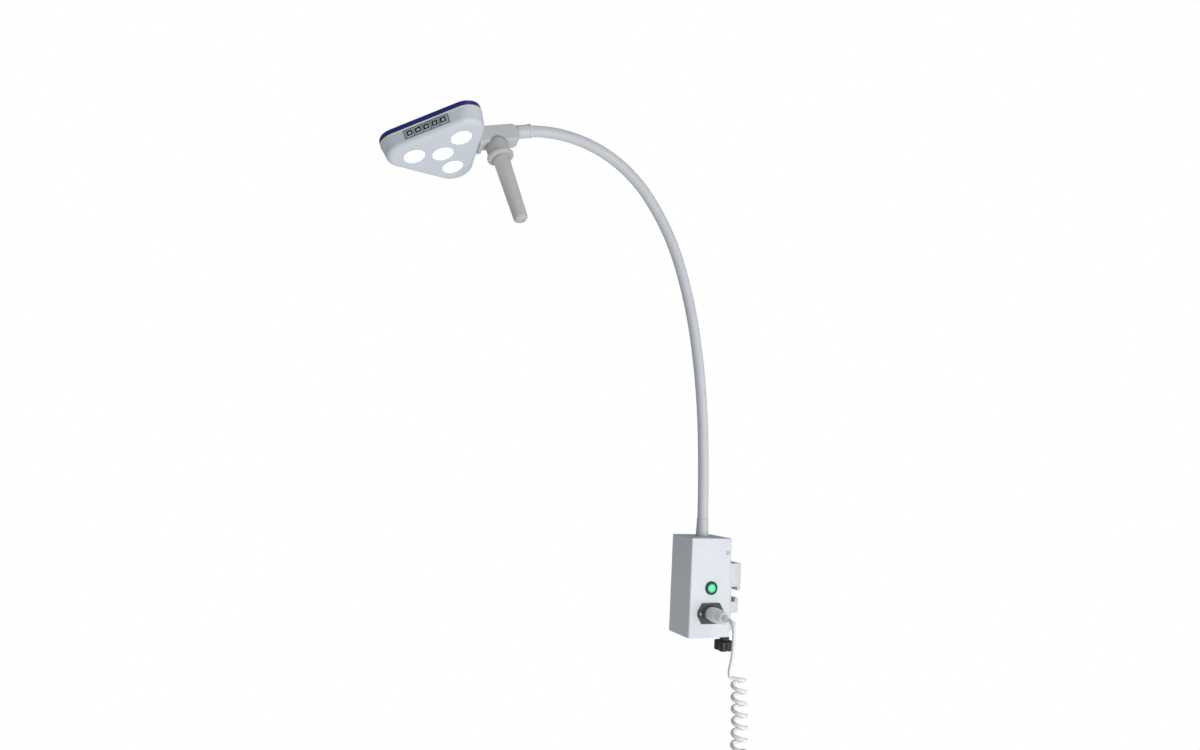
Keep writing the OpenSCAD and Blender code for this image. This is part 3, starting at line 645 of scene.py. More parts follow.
# Mains plug, with its ribbed relief between it and the tail's end
RELIEF_LENGTH = 24
tail_x, tail_y, tail_z = TAIL_ROUTE[-1]
PLUG = frame_at((tail_x * MM, tail_y * MM, (tail_z - RELIEF_LENGTH) * MM),
                (1, 0, 0), (0, -1, 0), (0, 0, -1))
PLUG_NOTCHES = 12
PIN_X = 9.5
plug_body = revolve("mains_plug_body", solid_profile([
    (13.5, 0, 1.5), (16.2, 5, 4), (17.2, 12, 3), (17.2, 17, 1), (16.6, 18.2, 0.8), (16.6, 26, 0.8),
    (17.6, 27.5, 1), (18, 36, 1.2), (17, 38, 1)]), PLUG, 72)
combine(plug_body, [slab("notch", rectangle(3.4, 2.2), 0.9, bevelled(17.5, 27, 0.8),
                         shifted(spun(PLUG, 360 / PLUG_NOTCHES * k), 17.4, 0, 0))
                    for k in range(PLUG_NOTCHES)])
finish_piece(plug_body, "cord_white", "lead", ["mains_plug"])
plug_relief = revolve("mains_plug_relief", solid_profile(
    [(8, 1, 0.5)] + [p for k in range(6) for p in (
        (7.6 - 0.45 * k, -1.5 - 3.4 * k, 0.5), (6.4 - 0.42 * k, -2.3 - 3.4 * k, 0.3),
        (6.3 - 0.42 * k, -3.6 - 3.4 * k, 0.3), (7.2 - 0.45 * k, -4.3 - 3.4 * k, 0.5))]
    + [(4.6, -RELIEF_LENGTH, 0.6)], 3), PLUG, 48)
finish_piece(plug_relief, "cord_white", "lead")
for side in (-1, 1):
    pin = revolve("mains_plug_pin_%d" % (1 if side > 0 else 2), solid_profile(
        [(2.4, 37.5, 0), (2.4, 57, 1.6)]), shifted(PLUG, PIN_X * side, 0, 0), 32)
    finish_piece(pin, "steel", "lead")

# Line connector with a fluted grip and three contact holes, and its strain relief
FLUTES = 10
connector = revolve("line_connector_body", solid_profile([
    (11, -13, 0.8), (11, 3.4, 0.3), (10.6, 3.9, 0.2), (10.6, 4.6, 0.2), (11.4, 5, 0.6),
    (11.5, 14, 1.2), (10.3, 15.2, 0.6), (10.3, 18.6, 0.6), (11.5, 19.8, 1.2), (11.5, 26, 2.5),
    (8.6, 31.5, 1.2), (8.3, 32, 0.3)]), INLET, 72)
socket_cutters = [frustum("hole", [(1.9, -15), (1.9, -1)], shifted(INLET, x, y, 0), 24)
                  for x, y in ((-5, 2), (5, 2), (0, -4))]
for k in range(FLUTES):
    socket_cutters.append(slab("flute", rectangle(2.6, 1.6), 0.7, bevelled(6.5, 13, 0.7),
                               shifted(spun(INLET, 360 / FLUTES * (k + 0.5)), 0, 11.7, 0)))
socket_cutters.append(slab("key_way", rectangle(4, 3), 0.5, bevelled(-14, 2, 0.5),
                           shifted(INLET, 0, 11.4, 0)))
combine(connector, socket_cutters)
finish_piece(connector, "plug_grey", "lead", ["line_connector"])
relief = revolve("strain_relief", solid_profile(
    [(8.2, 31.4, 0.3), (9.8, 32, 0.5), (10.2, 33.2, 1), (9.9, 42.6, 1.6), (8.4, 44.8, 0.8),
     (7.2, 45.1, 0.3)] + [p for k in range(3) for p in (
        (6.9 - 0.6 * k, 46 + 3.3 * k, 0.4), (5.7 - 0.45 * k, 46.5 + 3.3 * k, 0.3),
        (5.6 - 0.45 * k, 47.7 + 3.3 * k, 0.3), (6.6 - 0.6 * k, 48.2 + 3.3 * k, 0.4))]
    + [(4.6, 55, 0.3), (4.4, 56, 0.3)], 3), INLET, 48)
finish_piece(relief, "plug_grey", "lead", ["cord_relief"])

# ---- gooseneck
# The six arcs: headings from upright at their ends, in degrees, and the joints between them
HEADINGS = (0, 4, 12, 22, 41, 74, 106)
NECK_JOINTS = ("neck_bend_1", "neck_sway_1", "neck_bend_2", "neck_sway_2", "neck_bend_3")
LAST_JOINT = len(NECK_JOINTS) - 1
# Radii of the sleeve and its bore, and of the grooved steel core, its groove depth and its bore, in
# millimetres
SLEEVE_R, SLEEVE_BORE = 9, 6.5
CORE_R, CORE_GROOVE, CORE_BORE = 6.3, 0.7, 4
stations = [Vector((0, CASE_Y * MM, CASE_TOP * MM))]
stations += [joint_pos(name) for name in NECK_JOINTS + ("head_swivel",)]


def heading_dir(degrees):
    return Vector((0, -math.sin(math.radians(degrees)), math.cos(math.radians(degrees))))


def neck_point(arc, share):
    """Centre and heading, in degrees, part of the way along an arc."""
    bend = HEADINGS[arc + 1] - HEADINGS[arc]
    chord = (stations[arc + 1] - stations[arc]).length
    radius = chord / (2 * math.sin(math.radians(bend) / 2))
    h0 = math.radians(HEADINGS[arc])
    h1 = math.radians(HEADINGS[arc] + bend * share)
    centre = stations[arc] + radius * Vector((0, math.cos(h1) - math.cos(h0),
                                              math.sin(h1) - math.sin(h0)))
    return centre, HEADINGS[arc] + bend * share


def arc_length(arc):
    bend = math.radians(HEADINGS[arc + 1] - HEADINGS[arc])
    return (stations[arc + 1] - stations[arc]).length / (2 * math.sin(bend / 2)) * bend / MM


def neck_ring(arc, share, radius, steps):
    centre, heading = neck_point(arc, share)
    side = Vector((1, 0, 0))
    up = heading_dir(heading).cross(side)
    angles = [TURN * k / steps for k in range(steps)]
    return [(centre + (side * math.cos(a) + up * math.sin(a)) * radius * MM) / MM for a in angles]


def neck_span(joint, pitch, trim):
    """(arc, share) places from the middle of one arc to the middle of the next, or to the ends."""
    places = []
    first_start = 1 / arc_length(0) if joint == 0 else 0.5
    last_end = 1 - trim / arc_length(LAST_JOINT + 1) if joint == LAST_JOINT else 0.5
    for arc, start, end in ((joint, first_start, 1), (joint + 1, 0, last_end)):
        count = max(2, round(arc_length(arc) * (end - start) / pitch))
        begin = 0 if arc == joint else 1
        places += [(arc, start + (end - start) * i / count) for i in range(begin, count + 1)]
    return places


def neck_tube(name, joint, outer, inner, pitch, trim, steps):
    """Hollow tube over one joint; outer gives the radius at each ring."""
    places = neck_span(joint, pitch, trim)
    rings = [neck_ring(arc, share, outer(i), steps) for i, (arc, share) in enumerate(places)]
    inside = places[::4] if (len(places) - 1) % 4 == 0 else places[::4] + [places[-1]]
    rings += [neck_ring(arc, share, inner, steps) for arc, share in reversed(inside)]
    return mesh_object(name, *rings_mesh(rings, closed=True), Matrix.Identity(4))


for joint in range(len(NECK_JOINTS)):
    sleeve = neck_tube("neck_sleeve_%d" % (joint + 1), joint, lambda i: SLEEVE_R, SLEEVE_BORE,
                       pitch=4, trim=7, steps=40)
    core = neck_tube("neck_core_%d" % (joint + 1), joint,
                     lambda i: CORE_R - CORE_GROOVE * (i % 3 == 0), CORE_BORE, pitch=1, trim=8, steps=20)
    nodes = ["%d" % (joint + 1)] + (["6"] if joint == LAST_JOINT else [])
    for piece, slot_name, stem in ((sleeve, "white_sleeve", "sleeve_"), (core, "core_steel", "core_")):
        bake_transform(piece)
        finish_piece(piece, slot_name, None, [stem + n for n in nodes])

NECK_BASE = frame_at(stations[0], (1, 0, 0), (0, 1, 0), (0, 0, 1))
boot = revolve("neck_boot_soft", fillet_path([
    (9.25, 0, 0), (10.6, 0, 0.3), (11.2, 0.6, 0.5), (11.1, 2.6, 0.5), (10.5, 4, 1.5), (9.85, 22, 6),
    (9.9, 25, 0.8), (9.9, 28.4, 0.8), (9.5, 29.6, 0.5), (9.25, 30, 0)]), NECK_BASE, 64, closed=True)
finish_piece(boot, "white_sleeve", "case", ["neck_boot"])
NECK_END = frame_at(stations[6], (1, 0, 0), arm_dir.cross(Vector((1, 0, 0))), arm_dir)
ferrule = revolve("neck_ferrule_soft", fillet_path([
    (9.2, -16, 0), (10.6, -16, 0.6), (11.1, -13.8, 1), (11.1, -11.6, 1), (10.4, -11, 0.4),
    (10.5, 8.2, 0.5), (6, 8.7, 0.2), (6, 16.7, 0.2), (4.6, 16.8, 0.2), (4.6, 21.2, 0.2),
    (6, 21.3, 0.2), (6, 27, 0.8), (3, 27, 0), (3, -6.4, 0), (9.2, -6.6, 0)]), NECK_END, 64,
    closed=True)
finish_piece(ferrule, "white_sleeve", "neck_6", ["neck_ferrule"])

# ---- bracket and handle
ARM_X = frame_at(BRACKET.translation, arm_dir, -light_dir, BRACKET.to_3x3() @ Vector((-1, 0, 0)))
ARM_START, ARM_END = 9, 78.5
ARM_LOW, ARM_HIGH = -20.5, 9
ARM_W = 26
BRACKET_SCREW_X = 10
HUB_R = 18
HUB_CENTRE = 24.5
STUD_R, STUD_BORE_R = 7, 7.08
arm = slab("bracket_arm", [(ARM_START, ARM_LOW), (ARM_END, ARM_LOW), (ARM_END, ARM_HIGH),
                           (ARM_START, ARM_HIGH)], 9.8, bevelled(-ARM_W / 2, ARM_W / 2, 3), ARM_X, 10)
foot = slab("foot", rectangle(32, 34), 4, bevelled(0, 6, 1.2), shifted(BRACKET, 0, -8, 72.5))
combine(arm, [foot], "UNION")


def dome(radius):
    """Quarter profile of the hub's domed top, from the axis to the rim."""
    return [(radius * math.sin(math.radians(a)), HUB_CENTRE - radius * math.cos(math.radians(a)))
            for a in range(5, 91, 5)]


pocket = revolve("pocket", [(0.01, HUB_CENTRE - HUB_R - 0.5)] + dome(HUB_R + 0.5)
                 + [(HUB_R + 0.5, 42), (0.01, 42)], HANDLE, 96)
bore = frustum("bore", [(6.05, 6), (6.05, 27.3)], BRACKET, 48)
wire_way = frustum("wire_way", [(3, 25), (3, 76.5)], shifted(BRACKET, 0, 1.5, 0), 24)
wire_slot = slab("wire_slot", rectangle(6, 19.5), 1, bevelled(74.5, 80, 0.2),
                 shifted(BRACKET, 0, -5.2, 0))
screw_ways = [frustum("screw_way", [(1.7, 70), (1.7, 80)],
                      shifted(BRACKET, s * BRACKET_SCREW_X, -13, 0), 20) for s in (-1, 1)]
SET_SCREW = frame_at(shifted(BRACKET, 0, 0, 19).translation, BRACKET.to_3x3() @ Vector((1, 0, 0)),
                     -arm_dir, -light_dir)
set_screw_way = frustum("set_screw_way", [(2.05, 2), (2.05, 11)], SET_SCREW, 24)
combine(arm, [pocket, bore, wire_way, wire_slot, set_screw_way] + screw_ways)
finish_piece(arm, "bracket_paint", "head", ["bracket"])

hub = revolve("handle_hub_soft", [(0.01, HUB_CENTRE - HUB_R)] + dome(HUB_R) + fillet_path([
    (HUB_R, 24.6, 0), (HUB_R - 0.05, 36, 0.5), (17.4, 36.6, 0.3), (17.9, 37.2, 0.3),
    (17.7, 38.7, 0.6), (STUD_R, 38.7, 0.2), (STUD_R, 75, 0.8), (0.01, 75, 0)]), HANDLE, 96)
finish_piece(hub, "hub_grey", "head", ["handle_hub"])
flange = revolve("handle_flange_soft", fillet_path([
    (STUD_BORE_R, 39, 0), (20.2, 39, 0.5), (21, 39.8, 0.8), (21, 43, 0.9), (20, 44.8, 0.8),
    (15.4, 45, 0.3), (15, 44.5, 0.2), (13.6, 44.5, 0.2), (STUD_BORE_R, 44.7, 0)]), HANDLE, 96,
    closed=True)
finish_piece(flange, "handle_grey", "handle", ["handle_flange"])
grip = revolve("handle_grip_soft", fillet_path([
    (0.01, 45.1, 0), (12.6, 45.1, 0.4), (13, 45.8, 0.4), (12.95, 49, 6), (11.1, 145, 40),
    (11, 156, 6), (6, 156, 1), (5.2, 155, 0.6), (0.01, 154.8, 0)], 8), HANDLE, 96)
combine(grip, [frustum("grip_bore", [(STUD_BORE_R, 44), (STUD_BORE_R, 78)], HANDLE, 48)])
finish_piece(grip, "handle_grey", "handle", ["handle_grip"])

# ---- lamp head
# Round-cornered triangle: face and seal share HEAD_FLAT, the flats' distance from the centre
HEAD_R, FACE_R = 26.5, 30
HEAD_TIP, FACE_TIP = 2 * HEAD_FLAT - HEAD_R, 2 * HEAD_FLAT - FACE_R
FILLET = 9
WALL_LOW, WALL_HIGH = 10, 24
SHELL_H, SHELL_T = 25, 2.5
LENS_R = 15.5
LENS_RING, SCREW_RING, POST_RING = 44, 66, 30
lens_places = [(0, 0)] + [polar(LENS_RING, math.radians(a)) for a in TIPS]
cover_screws = [shifted(spun(HEAD, a), SCREW_RING, 0, 0) for a in TIPS]


def triangle_ring(tip, radius, z):
    """Ring of the head's outline: distance to the tips, tip radius, height."""
    return [(x, y, z) for x, y in outline(triangle(tip, radius), radius, 0, 16)]


def inset_ring(tip, radius, inset, z):
    return triangle_ring(tip - inset, radius - inset, z)


shell_rings = [inset_ring(FACE_TIP, FACE_R, FILLET * (1 - math.sin(math.radians(a))),
                          FILLET * (1 - math.cos(math.radians(a)))) for a in range(0, 91, 9)]
for z in (WALL_LOW, 14, 19, WALL_HIGH):
    part = (z - WALL_LOW) / (WALL_HIGH - WALL_LOW)
    shell_rings.append(triangle_ring(FACE_TIP + (HEAD_TIP - FACE_TIP) * part,
                                     FACE_R + (HEAD_R - FACE_R) * part, z))
shell_rings += [triangle_ring(HEAD_TIP, HEAD_R, SHELL_H - 0.4),
                inset_ring(HEAD_TIP, HEAD_R, 0.4, SHELL_H),
                inset_ring(HEAD_TIP, HEAD_R, SHELL_T, SHELL_H),
                inset_ring(FACE_TIP, FACE_R, SHELL_T, 11), inset_ring(FACE_TIP, FACE_R, 6, 5),
                inset_ring(FACE_TIP, FACE_R, 9, 3)]
shell = mesh_object("head_shell_soft", *rings_mesh(shell_rings), HEAD, 30)
bosses = [frustum("boss", [(4.5, 2), (4.5, SHELL_H)], place, 32) for place in cover_screws]
bosses += [frustum("post", [(3, 2), (3, 16.5)], shifted(spun(HEAD, a + 60), POST_RING, 0, 0), 24)
           for a in TIPS]
combine(shell, bosses, "UNION", 30)
cutters = [revolve("lens_hole", solid_profile([(LENS_R + 1.5, -1, 0), (LENS_R + 0.7, 0.02, 0),
                                               (LENS_R, 0.7, 0.4), (LENS_R, 5, 0)]),
                   shifted(HEAD, x, y, 0), 96) for x, y in lens_places]
KEYPAD_W, KEYPAD_H = 70.6, 15
cutters.append(slab("keypad_recess", rectangle(KEYPAD_W + 0.4, KEYPAD_H + 0.4), 1.2,
                    bevelled(-1.2, 6, 0.15), KEYPAD))
cutters += [frustum("pilot", [(1.3, 6), (1.3, 26)], place, 20) for place in cover_screws]
TO_BRACKET = frame_at(HEAD.translation, *(HEAD.to_3x3() @ Vector(v)
                                          for v in ((0, 1, 0), (0, 0, 1), (1, 0, 0))))
for side, radius in ((-1, 1.7), (0, 3), (1, 1.7)):
    cutters.append(frustum("bracket_hole", [(radius, 45), (radius, 60)],
                           shifted(TO_BRACKET, side * BRACKET_SCREW_X, 15, 0), 24))
combine(shell, cutters, "DIFFERENCE", 30)
finish_piece(shell, "head_plastic", "head", ["head_shell"])

GASKET_T = 2.5
gasket_profile = [(2.4, 0), (0.4, 0), (-0.1, 0.25), (-0.5, 0.7), (-0.6, GASKET_T / 2),
                  (-0.5, GASKET_T - 0.7), (-0.1, GASKET_T - 0.25), (0.4, GASKET_T), (2.4, GASKET_T)]
gasket = mesh_object("head_gasket_soft", *rings_mesh([
    inset_ring(HEAD_TIP, HEAD_R, inset, SHELL_H + z) for inset, z in gasket_profile], closed=True),
    HEAD, 50)
finish_piece(gasket, "cream_rubber", "head", ["head_gasket"])

# Cover: (tips' distance, tip radius, height) up its inside and then over its crown
COVER_LOW = SHELL_H + GASKET_T
crown = [(HEAD_TIP, HEAD_R, 0.6), (HEAD_TIP, HEAD_R, 3.5), (HEAD_TIP, HEAD_R, 6.4), (88.35, 26.35, 7.1),
         (87.9, 25.9, 7.65), (87, 25.1, 8.2), (85.1, 24.1, 9.1), (82.5, 23.3, 10.3),
         (79, 22.3, 11.6), (74.5, 21.1, 13), (69, 20.3, 14.1), (62.5, 19.5, 15),
         (54.5, 18.5, 15.65), (44.5, 17.5, 15.95), (31.5, 15.5, 16)]
under = [(54, 14, 12.9), (60, 16, 12.5), (60, 16, 6.7), (86, 24, 6.1), (86, 24, 0),
         (87.9, 25.9, 0)]
cover = mesh_object("head_cover_soft", *rings_mesh([triangle_ring(tip, r, COVER_LOW + z)
                                                    for tip, r, z in under + crown]), HEAD, 40)
combine(cover, [frustum("boss", [(4.5, COVER_LOW), (4.5, COVER_LOW + 6.5)], place, 32)
                for place in cover_screws], "UNION", 40)
well = solid_profile([(1.7, 20, 0), (1.7, COVER_LOW + 5, 0), (3.4, COVER_LOW + 5, 0), (3.4, 50, 0)])
combine(cover, [revolve("screw_well", well, place, 40) for place in cover_screws], "DIFFERENCE", 40)
finish_piece(cover, "blue_plastic", "head", ["head_cover"])

for k, (x, y) in enumerate(lens_places):
    lens = revolve("lens_%d" % (k + 1), fillet_path([
        (0.01, 4.6, 0), (16.25, 4.6, 0.2), (16.25, 3, 0.1), (15.35, 3, 0.05), (15.35, 1.5, 0.3),
        (14.7, 1.1, 0.4), (13, 0.85, 3), (9.5, 0.4, 8), (5, 0.1, 8), (0.01, 0.02, 0)], 6),
        shifted(HEAD, x, y, 0), 96)
    finish_piece(lens, "lens_clear", "head", ["lenses"] if k == 0 else [])

# Keypad: framed plate with five windows, a near-black ring on its edge that is painted shadow of its
# recess, dark lines between the windows, and the keys with dark outlines and plain signs
KEYS = 5
KEY_PITCH = 13.2


def key_frame(k):
    return shifted(KEYPAD, (k - (KEYS - 1) / 2) * KEY_PITCH, 0, 0)


plate = slab("keypad_plate_soft", rectangle(KEYPAD_W, KEYPAD_H), 1, bevelled(-1.1, 0.1, 0.15), KEYPAD)
combine(plate, [slab("window", rectangle(9.9, 9.9), 0.9, bevelled(-3, 3, 0.01), key_frame(k))
                for k in range(KEYS)])
finish_piece(plate, "keypad_blue", "head", ["keypad_plate"])
# Painted shadow: the near-black ring round the plate's edge stands in for the shade in the recess; the
# thin lines between the windows are dark dividers
recess_shadow_rings = [[(x, y, z) for x, y in outline(rectangle(70.4, 14.8), 1, inset)]
                for inset, z in ((0, 0.05), (0.05, 0.2), (0.75, 0.2), (0.8, 0.05))]
border = mesh_object("keypad_border", *rings_mesh(recess_shadow_rings, closed=True), KEYPAD)
lines = [slab("line", rectangle(0.7, 13.4), 0.2, bevelled(0.02, 0.19, 0.05, 2), key_frame(k + 0.5), 3)
         for k in range(KEYS - 1)]
border = joined("keypad_border", [border] + lines)
finish_piece(border, "key_ink", "head", ())


# Plain raised signs of each key, as (x, y, width, height) bars: dot, minus, steps, plus, corners
KEY_BARS = [[(0, 0, 1.4, 1.4)], [(0, 0, 2.4, 0.7)],
            [(-0.9, 0, 0.5, 1.0), (0, 0, 0.5, 1.7), (0.9, 0, 0.5, 2.4)],
            [(0, 0, 2.4, 0.7), (0, 0, 0.7, 2.4)], [(-0.5, 0.5, 1.3, 0.6), (0.5, -0.5, 1.3, 0.6)]]


def key_signs(bars, place):
    return [slab("sign", rectangle(w, h), 0.2, bevelled(0.3, 0.56 + 0.01 * i, 0.05, 2),
                 shifted(place, x, y, 0), 3) for i, (x, y, w, h) in enumerate(bars)]


for k in range(KEYS):
    body = "key_%d" % (k + 1)
    pad = slab(body + "_pad", rectangle(9.4, 9.4), 1.2, bevelled(-0.65, 0.45, 0.3), key_frame(k))
    finish_piece(pad, "key_film", body, [body])
    rim = [[(x, y, z) for x, y in outline(rectangle(8.8, 8.4), 1.4, inset)]
           for inset, z in ((0, 0.4), (0.1, 0.58), (2.2, 0.58), (2.3, 0.4))]
    ink = mesh_object(body + "_ink", *rings_mesh(rim, closed=True), key_frame(k))
    ink = joined(body + "_ink", [ink] + key_signs(KEY_BARS[k], key_frame(k)))
    finish_piece(ink, "key_ink", body, ())

# ---- supply case
SHEET = 2
INNER_W, INNER_D = CASE_W / 2 - SHEET, CASE_D / 2 - SHEET
EAR_X = 20
SIDE_SCREW_Y, SIDE_SCREW_Z = -16, 69
VENTS, VENT_PITCH = 6, 7
CASE = frame_at((0, CASE_Y * MM, 0), (1, 0, 0), (0, 1, 0), (0, 0, 1))
ears = [shifted(INLET, EAR_X * s, 0, 0) for s in (-1, 1)]
side_screws = [frame_at((s * CASE_W / 2 * MM, SIDE_SCREW_Y * MM, SIDE_SCREW_Z * MM),
                        (0, 1, 0), (0, 0, s), (s, 0, 0)) for s in (-1, 1)]
case = slab("case_shell_soft", rectangle(CASE_W, CASE_D), 2.5,
            [(0.4, CASE_LOW), (0, CASE_LOW + 0.4)] + bevelled(CASE_LOW, CASE_TOP, 1.6, 6)[7:], CASE)
cutters = [slab("hollow", [(-INNER_W, -INNER_D), (INNER_W, -INNER_D), (INNER_W, 60), (-INNER_W, 60)],
                0.8, [(0, CASE_LOW - 5), (0, CASE_TOP - SHEET)], CASE),
           frustum("neck_hole", [(9.9, 88), (9.9, 95)], CASE, 64),
           frustum("switch_hole", [(9.4, -4), (9.4, 2)], SWITCH, 64),
           frustum("inlet_hole", [(15.2, -4), (15.2, 2)], INLET, 64)]
cutters += [frustum("ear_hole", [(1.8, -4), (1.8, 2)], place, 24) for place in ears]
seat = solid_profile([(1.7, -4, 0), (1.7, -1.75, 0), (3.3, -1.5, 0), (3.3, 1, 0)])
cutters += [revolve("screw_seat", seat, place, 32) for place in side_screws]
for i in range(VENTS):
    vent_at = (-CASE_W / 2 * MM, CASE_Y * MM, (CASE_LOW + 19.5 + VENT_PITCH * i) * MM)
    cutters.append(slab("vent", rectangle(40, 3), 1.45, [(0, -3), (0, 3)],
                        frame_at(vent_at, (0, 1, 0), (0, 0, -1), (-1, 0, 0))))
cutters.append(slab("drain_notch", rectangle(3, 4), 0.6, [(0, -4), (0, 3)], right_side(-58.5, CASE_LOW)))
combine(case, cutters)
finish_piece(case, "white_paint", "case", ["case_shell"])
for i, place in enumerate(side_screws):
    screw = revolve("case_screw_%d" % (i + 1), solid_profile([
        (2.5, -0.25, 0.4), (2.7, -0.9, 0.2), (1.5, -1.7, 0.1), (1.25, -1.9, 0), (1.25, -7.4, 0.4)]),
        place, 40)
    combine(screw, [slab("socket", [polar(1.05, TURN * k / 6) for k in range(6)], 0.06,
                         [(0, -1.3), (0, 1)], place, 2)])
    finish_piece(screw, "steel", "case", ["case_screws"] if i == 0 else [])

# Illuminated push switch
bezel = revolve("switch_bezel", fillet_path([
    (8.2, -8, 0), (8.2, 1.7, 0.2), (8.9, 2.4, 0.5), (10.2, 2.5, 0.6), (11, 1.7, 0.7), (11, 0.02, 0),
    (9.2, 0, 0), (9.2, -2, 0), (11.6, -2, 0.3), (11.6, -8, 0.3), (9.2, -8, 0), (9.2, -26, 0.8),
    (0.01, -26, 0), (0.01, -8, 0)]), SWITCH, 80)
finish_piece(bezel, "black_plastic", "case", ["switch_housing"])
cap = revolve("switch_cap_soft", fillet_path([
    (0.01, -5, 0), (7.85, -5, 0.3), (7.9, 1.6, 0.4), (7.3, 2.6, 0.8), (5, 3.3, 3), (2.5, 3.55, 3),
    (0.01, 3.6, 0)], 6), SWITCH, 80)
finish_piece(cap, "green_cap", "switch", ["switch_cap"])

# Power inlet
hexagon = [(-16, 16.5), (16, 16.5), (24, 3.5), (24, -3.5), (16, -16.5), (-16, -16.5), (-24, -3.5),
           (-24, 3.5)]
inlet = slab("inlet_body", hexagon, 1.5, bevelled(0, 3, 0.6)[4:], INLET, 4)
combine(inlet, [frustum("barrel", [(15, -18), (15, 1)], INLET, 64)], "UNION")
cutters = [revolve("recess", solid_profile([(12.5, -15, 0.5), (12.5, 2.4, 0), (13.1, 3.1, 0),
                                            (13.1, 6, 0)]), INLET, 72)]
cutters += [frustum("ear", [(1.8, -3), (1.8, 6)], place, 24) for place in ears]
combine(inlet, cutters)
finish_piece(inlet, "inlet_plastic", "case", ["inlet_housing"])
for i, place in enumerate(ears):
    ear_screw = revolve("inlet_screw_%d" % (i + 1), solid_profile([
        (1.5, -6, 0.3), (1.5, 3, 0), (2.9, 3.02, 0.1), (2.85, 3.7, 0.4), (1.6, 4.4, 0.8)]), place, 40)
    combine(ear_screw, [slab("cross", rectangle(w, h), 0.15, [(0, 3.6), (0, 5)], spun(place, 25), 2)
                        for w, h in ((3.4, 0.6), (0.6, 3.4))])
    finish_piece(ear_screw, "steel", "case", ["inlet_screws"] if i == 0 else [])

# ---- clamp, and the two plain boxes inside the case
for node, width, look, body in (("clamp_body", 0.9, "clamp_paint", "case"),
                                ("clamp_jaw", 0.9, "clamp_paint", "jaw"),
                                ("clamp_pad", 0.25, "pad_rubber", "case"),
                                ("case_chassis", 0.4, "white_paint", "case"),
                                ("power_module", 0.8, "module_black", "case")):
    finish_piece(softened(node, width), look, body, [node])

SPINDLE_Y, KNOB_TOP = 5, -79
SPINDLE = frame_at((0, SPINDLE_Y * MM, 0), (1, 0, 0), (0, 1, 0), (0, 0, 1))
KNOB = frame_at((0, SPINDLE_Y * MM, KNOB_TOP * MM), (1, 0, 0), (0, -1, 0), (0, 0, -1))
KNOB_STEPS = 120
LOBES, SPLINES = 4, 24


def lobed_ring(inset, z):
    """Four finger lobes."""
    ring = []
    for k in range(KNOB_STEPS):
        wave = math.cos(LOBES * TURN * (k / KNOB_STEPS - 0.125))
        radius = 14.3 + 2.7 * wave + 0.5 * (1 - wave * wave) - inset
        ring.append((*polar(radius, TURN * k / KNOB_STEPS), z))
    return ring


def splined_ring(radius, z):
    """Fine splines around the knob's collar."""
    angles = [TURN * k / KNOB_STEPS for k in range(KNOB_STEPS)]
    return [(*polar(radius + 0.22 * math.cos(SPLINES * a), a), z) for a in angles]


knob = mesh_object("clamp_knob_soft", *rings_mesh(
    [splined_ring(7.3, -5), splined_ring(7.7, -4.6), splined_ring(7.7, -0.4), splined_ring(7.8, 0.6)]
    + [lobed_ring(inset, z) for inset, z in bevelled(0.5, 17, 2.6, 5)]
    + [lobed_ring(5.5, 17), lobed_ring(6.2, 16.4), lobed_ring(9, 16.3)]), KNOB, 40)
finish_piece(knob, "black_plastic", "knob", ["clamp_knob"])


def thread(name, radius, depth, pitch, z0, z1, place):
    """Rod with a helical thread that fades out at its ends."""
    steps = 32
    count = round((z1 - z0) / pitch * 4)
    rings = []
    for i in range(count + 1):
        z = z0 + (z1 - z0) * i / count
        end_fade = min(1, (z - z0) / pitch, (z1 - z) / pitch)
        ring = []
        for k in range(steps):
            crest = end_fade * abs(2 * ((z / pitch - k / steps) % 1) - 1)
            ring.append((*polar(radius - depth * (1 - crest), TURN * k / steps), z))
        rings.append(ring)
    return mesh_object(name, *rings_mesh(rings), place, 80)


spindle = thread("clamp_screw_soft", 4, 0.6, 1.25, -77, -22.8, SPINDLE)
finish_piece(spindle, "steel", "knob", ["clamp_screw"])


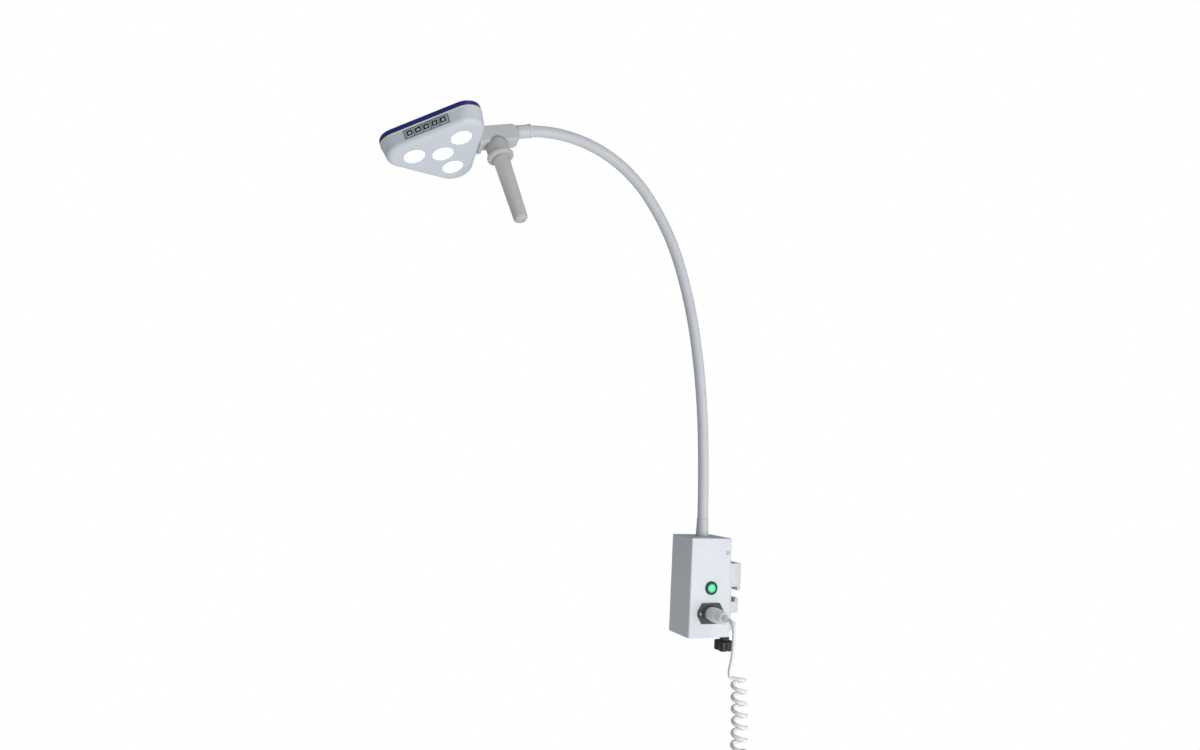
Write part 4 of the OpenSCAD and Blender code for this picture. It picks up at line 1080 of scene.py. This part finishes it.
# ---- stage and light
def lit_seen_as_white(tree, surface, colour, strength):
    """Surface that lights the object softly and shows plain white to the camera."""
    soft = tree.nodes.new(surface)
    soft.inputs["Color"].default_value = (*colour, 1)
    soft.inputs["Strength"].default_value = strength
    seen = tree.nodes.new(surface)
    seen.inputs["Color"].default_value = (1, 1, 1, 1)
    seen.inputs["Strength"].default_value = 1.0
    light_path = tree.nodes.new("ShaderNodeLightPath")
    either = tree.nodes.new("ShaderNodeMixShader")
    tree.links.new(light_path.outputs["Is Camera Ray"], either.inputs["Fac"])
    tree.links.new(soft.outputs[0], either.inputs[1])
    tree.links.new(seen.outputs[0], either.inputs[2])
    output = next(n for n in tree.nodes if n.type in ("OUTPUT_MATERIAL", "OUTPUT_WORLD"))
    tree.links.new(either.outputs["Shader"], output.inputs["Surface"])


FLOOR_R, FLOOR_T = 14000, 20
FLOOR_Z = -0.75
floor = mesh_object("floor", *rings_mesh([circle(FLOOR_R, z, 96) for z in (-FLOOR_T, 0)]),
                    Matrix.Translation((0, 0, FLOOR_Z)))
floor_look = bpy.data.materials.new("floor_look")
floor_look.use_nodes = True
lit_seen_as_white(floor_look.node_tree, "ShaderNodeEmission", (0.96, 0.98, 1), 0.6)
floor.data.materials.append(floor_look)

world = bpy.data.worlds.new("studio")
scene.world = world
world.use_nodes = True
lit_seen_as_white(world.node_tree, "ShaderNodeBackground", (0.93, 0.96, 1), 0.17)
scene.view_settings.view_transform = "Standard"


def area_light(name, place, target, size, power, colour):
    """Square light of this size in metres and power in watts, turned to its target."""
    data = bpy.data.lights.new(name, "AREA")
    data.shape = "SQUARE"
    data.size = size
    data.energy = power
    data.color = colour
    obj = bpy.data.objects.new(name, data)
    scene.collection.objects.link(obj)
    aim = (Vector(target) - Vector(place)).to_track_quat("-Z", "Y")
    obj.matrix_world = Matrix.Translation(place) @ aim.to_matrix().to_4x4()


area_light("key", (2.2, 0.5, -0.2), (0, -0.2, 0.2), 1.6, 43, (0.98, 0.99, 1))
area_light("top", (0.4, -0.2, 3.6), (0, -0.2, 0.2), 1.6, 20, (1, 1, 1))
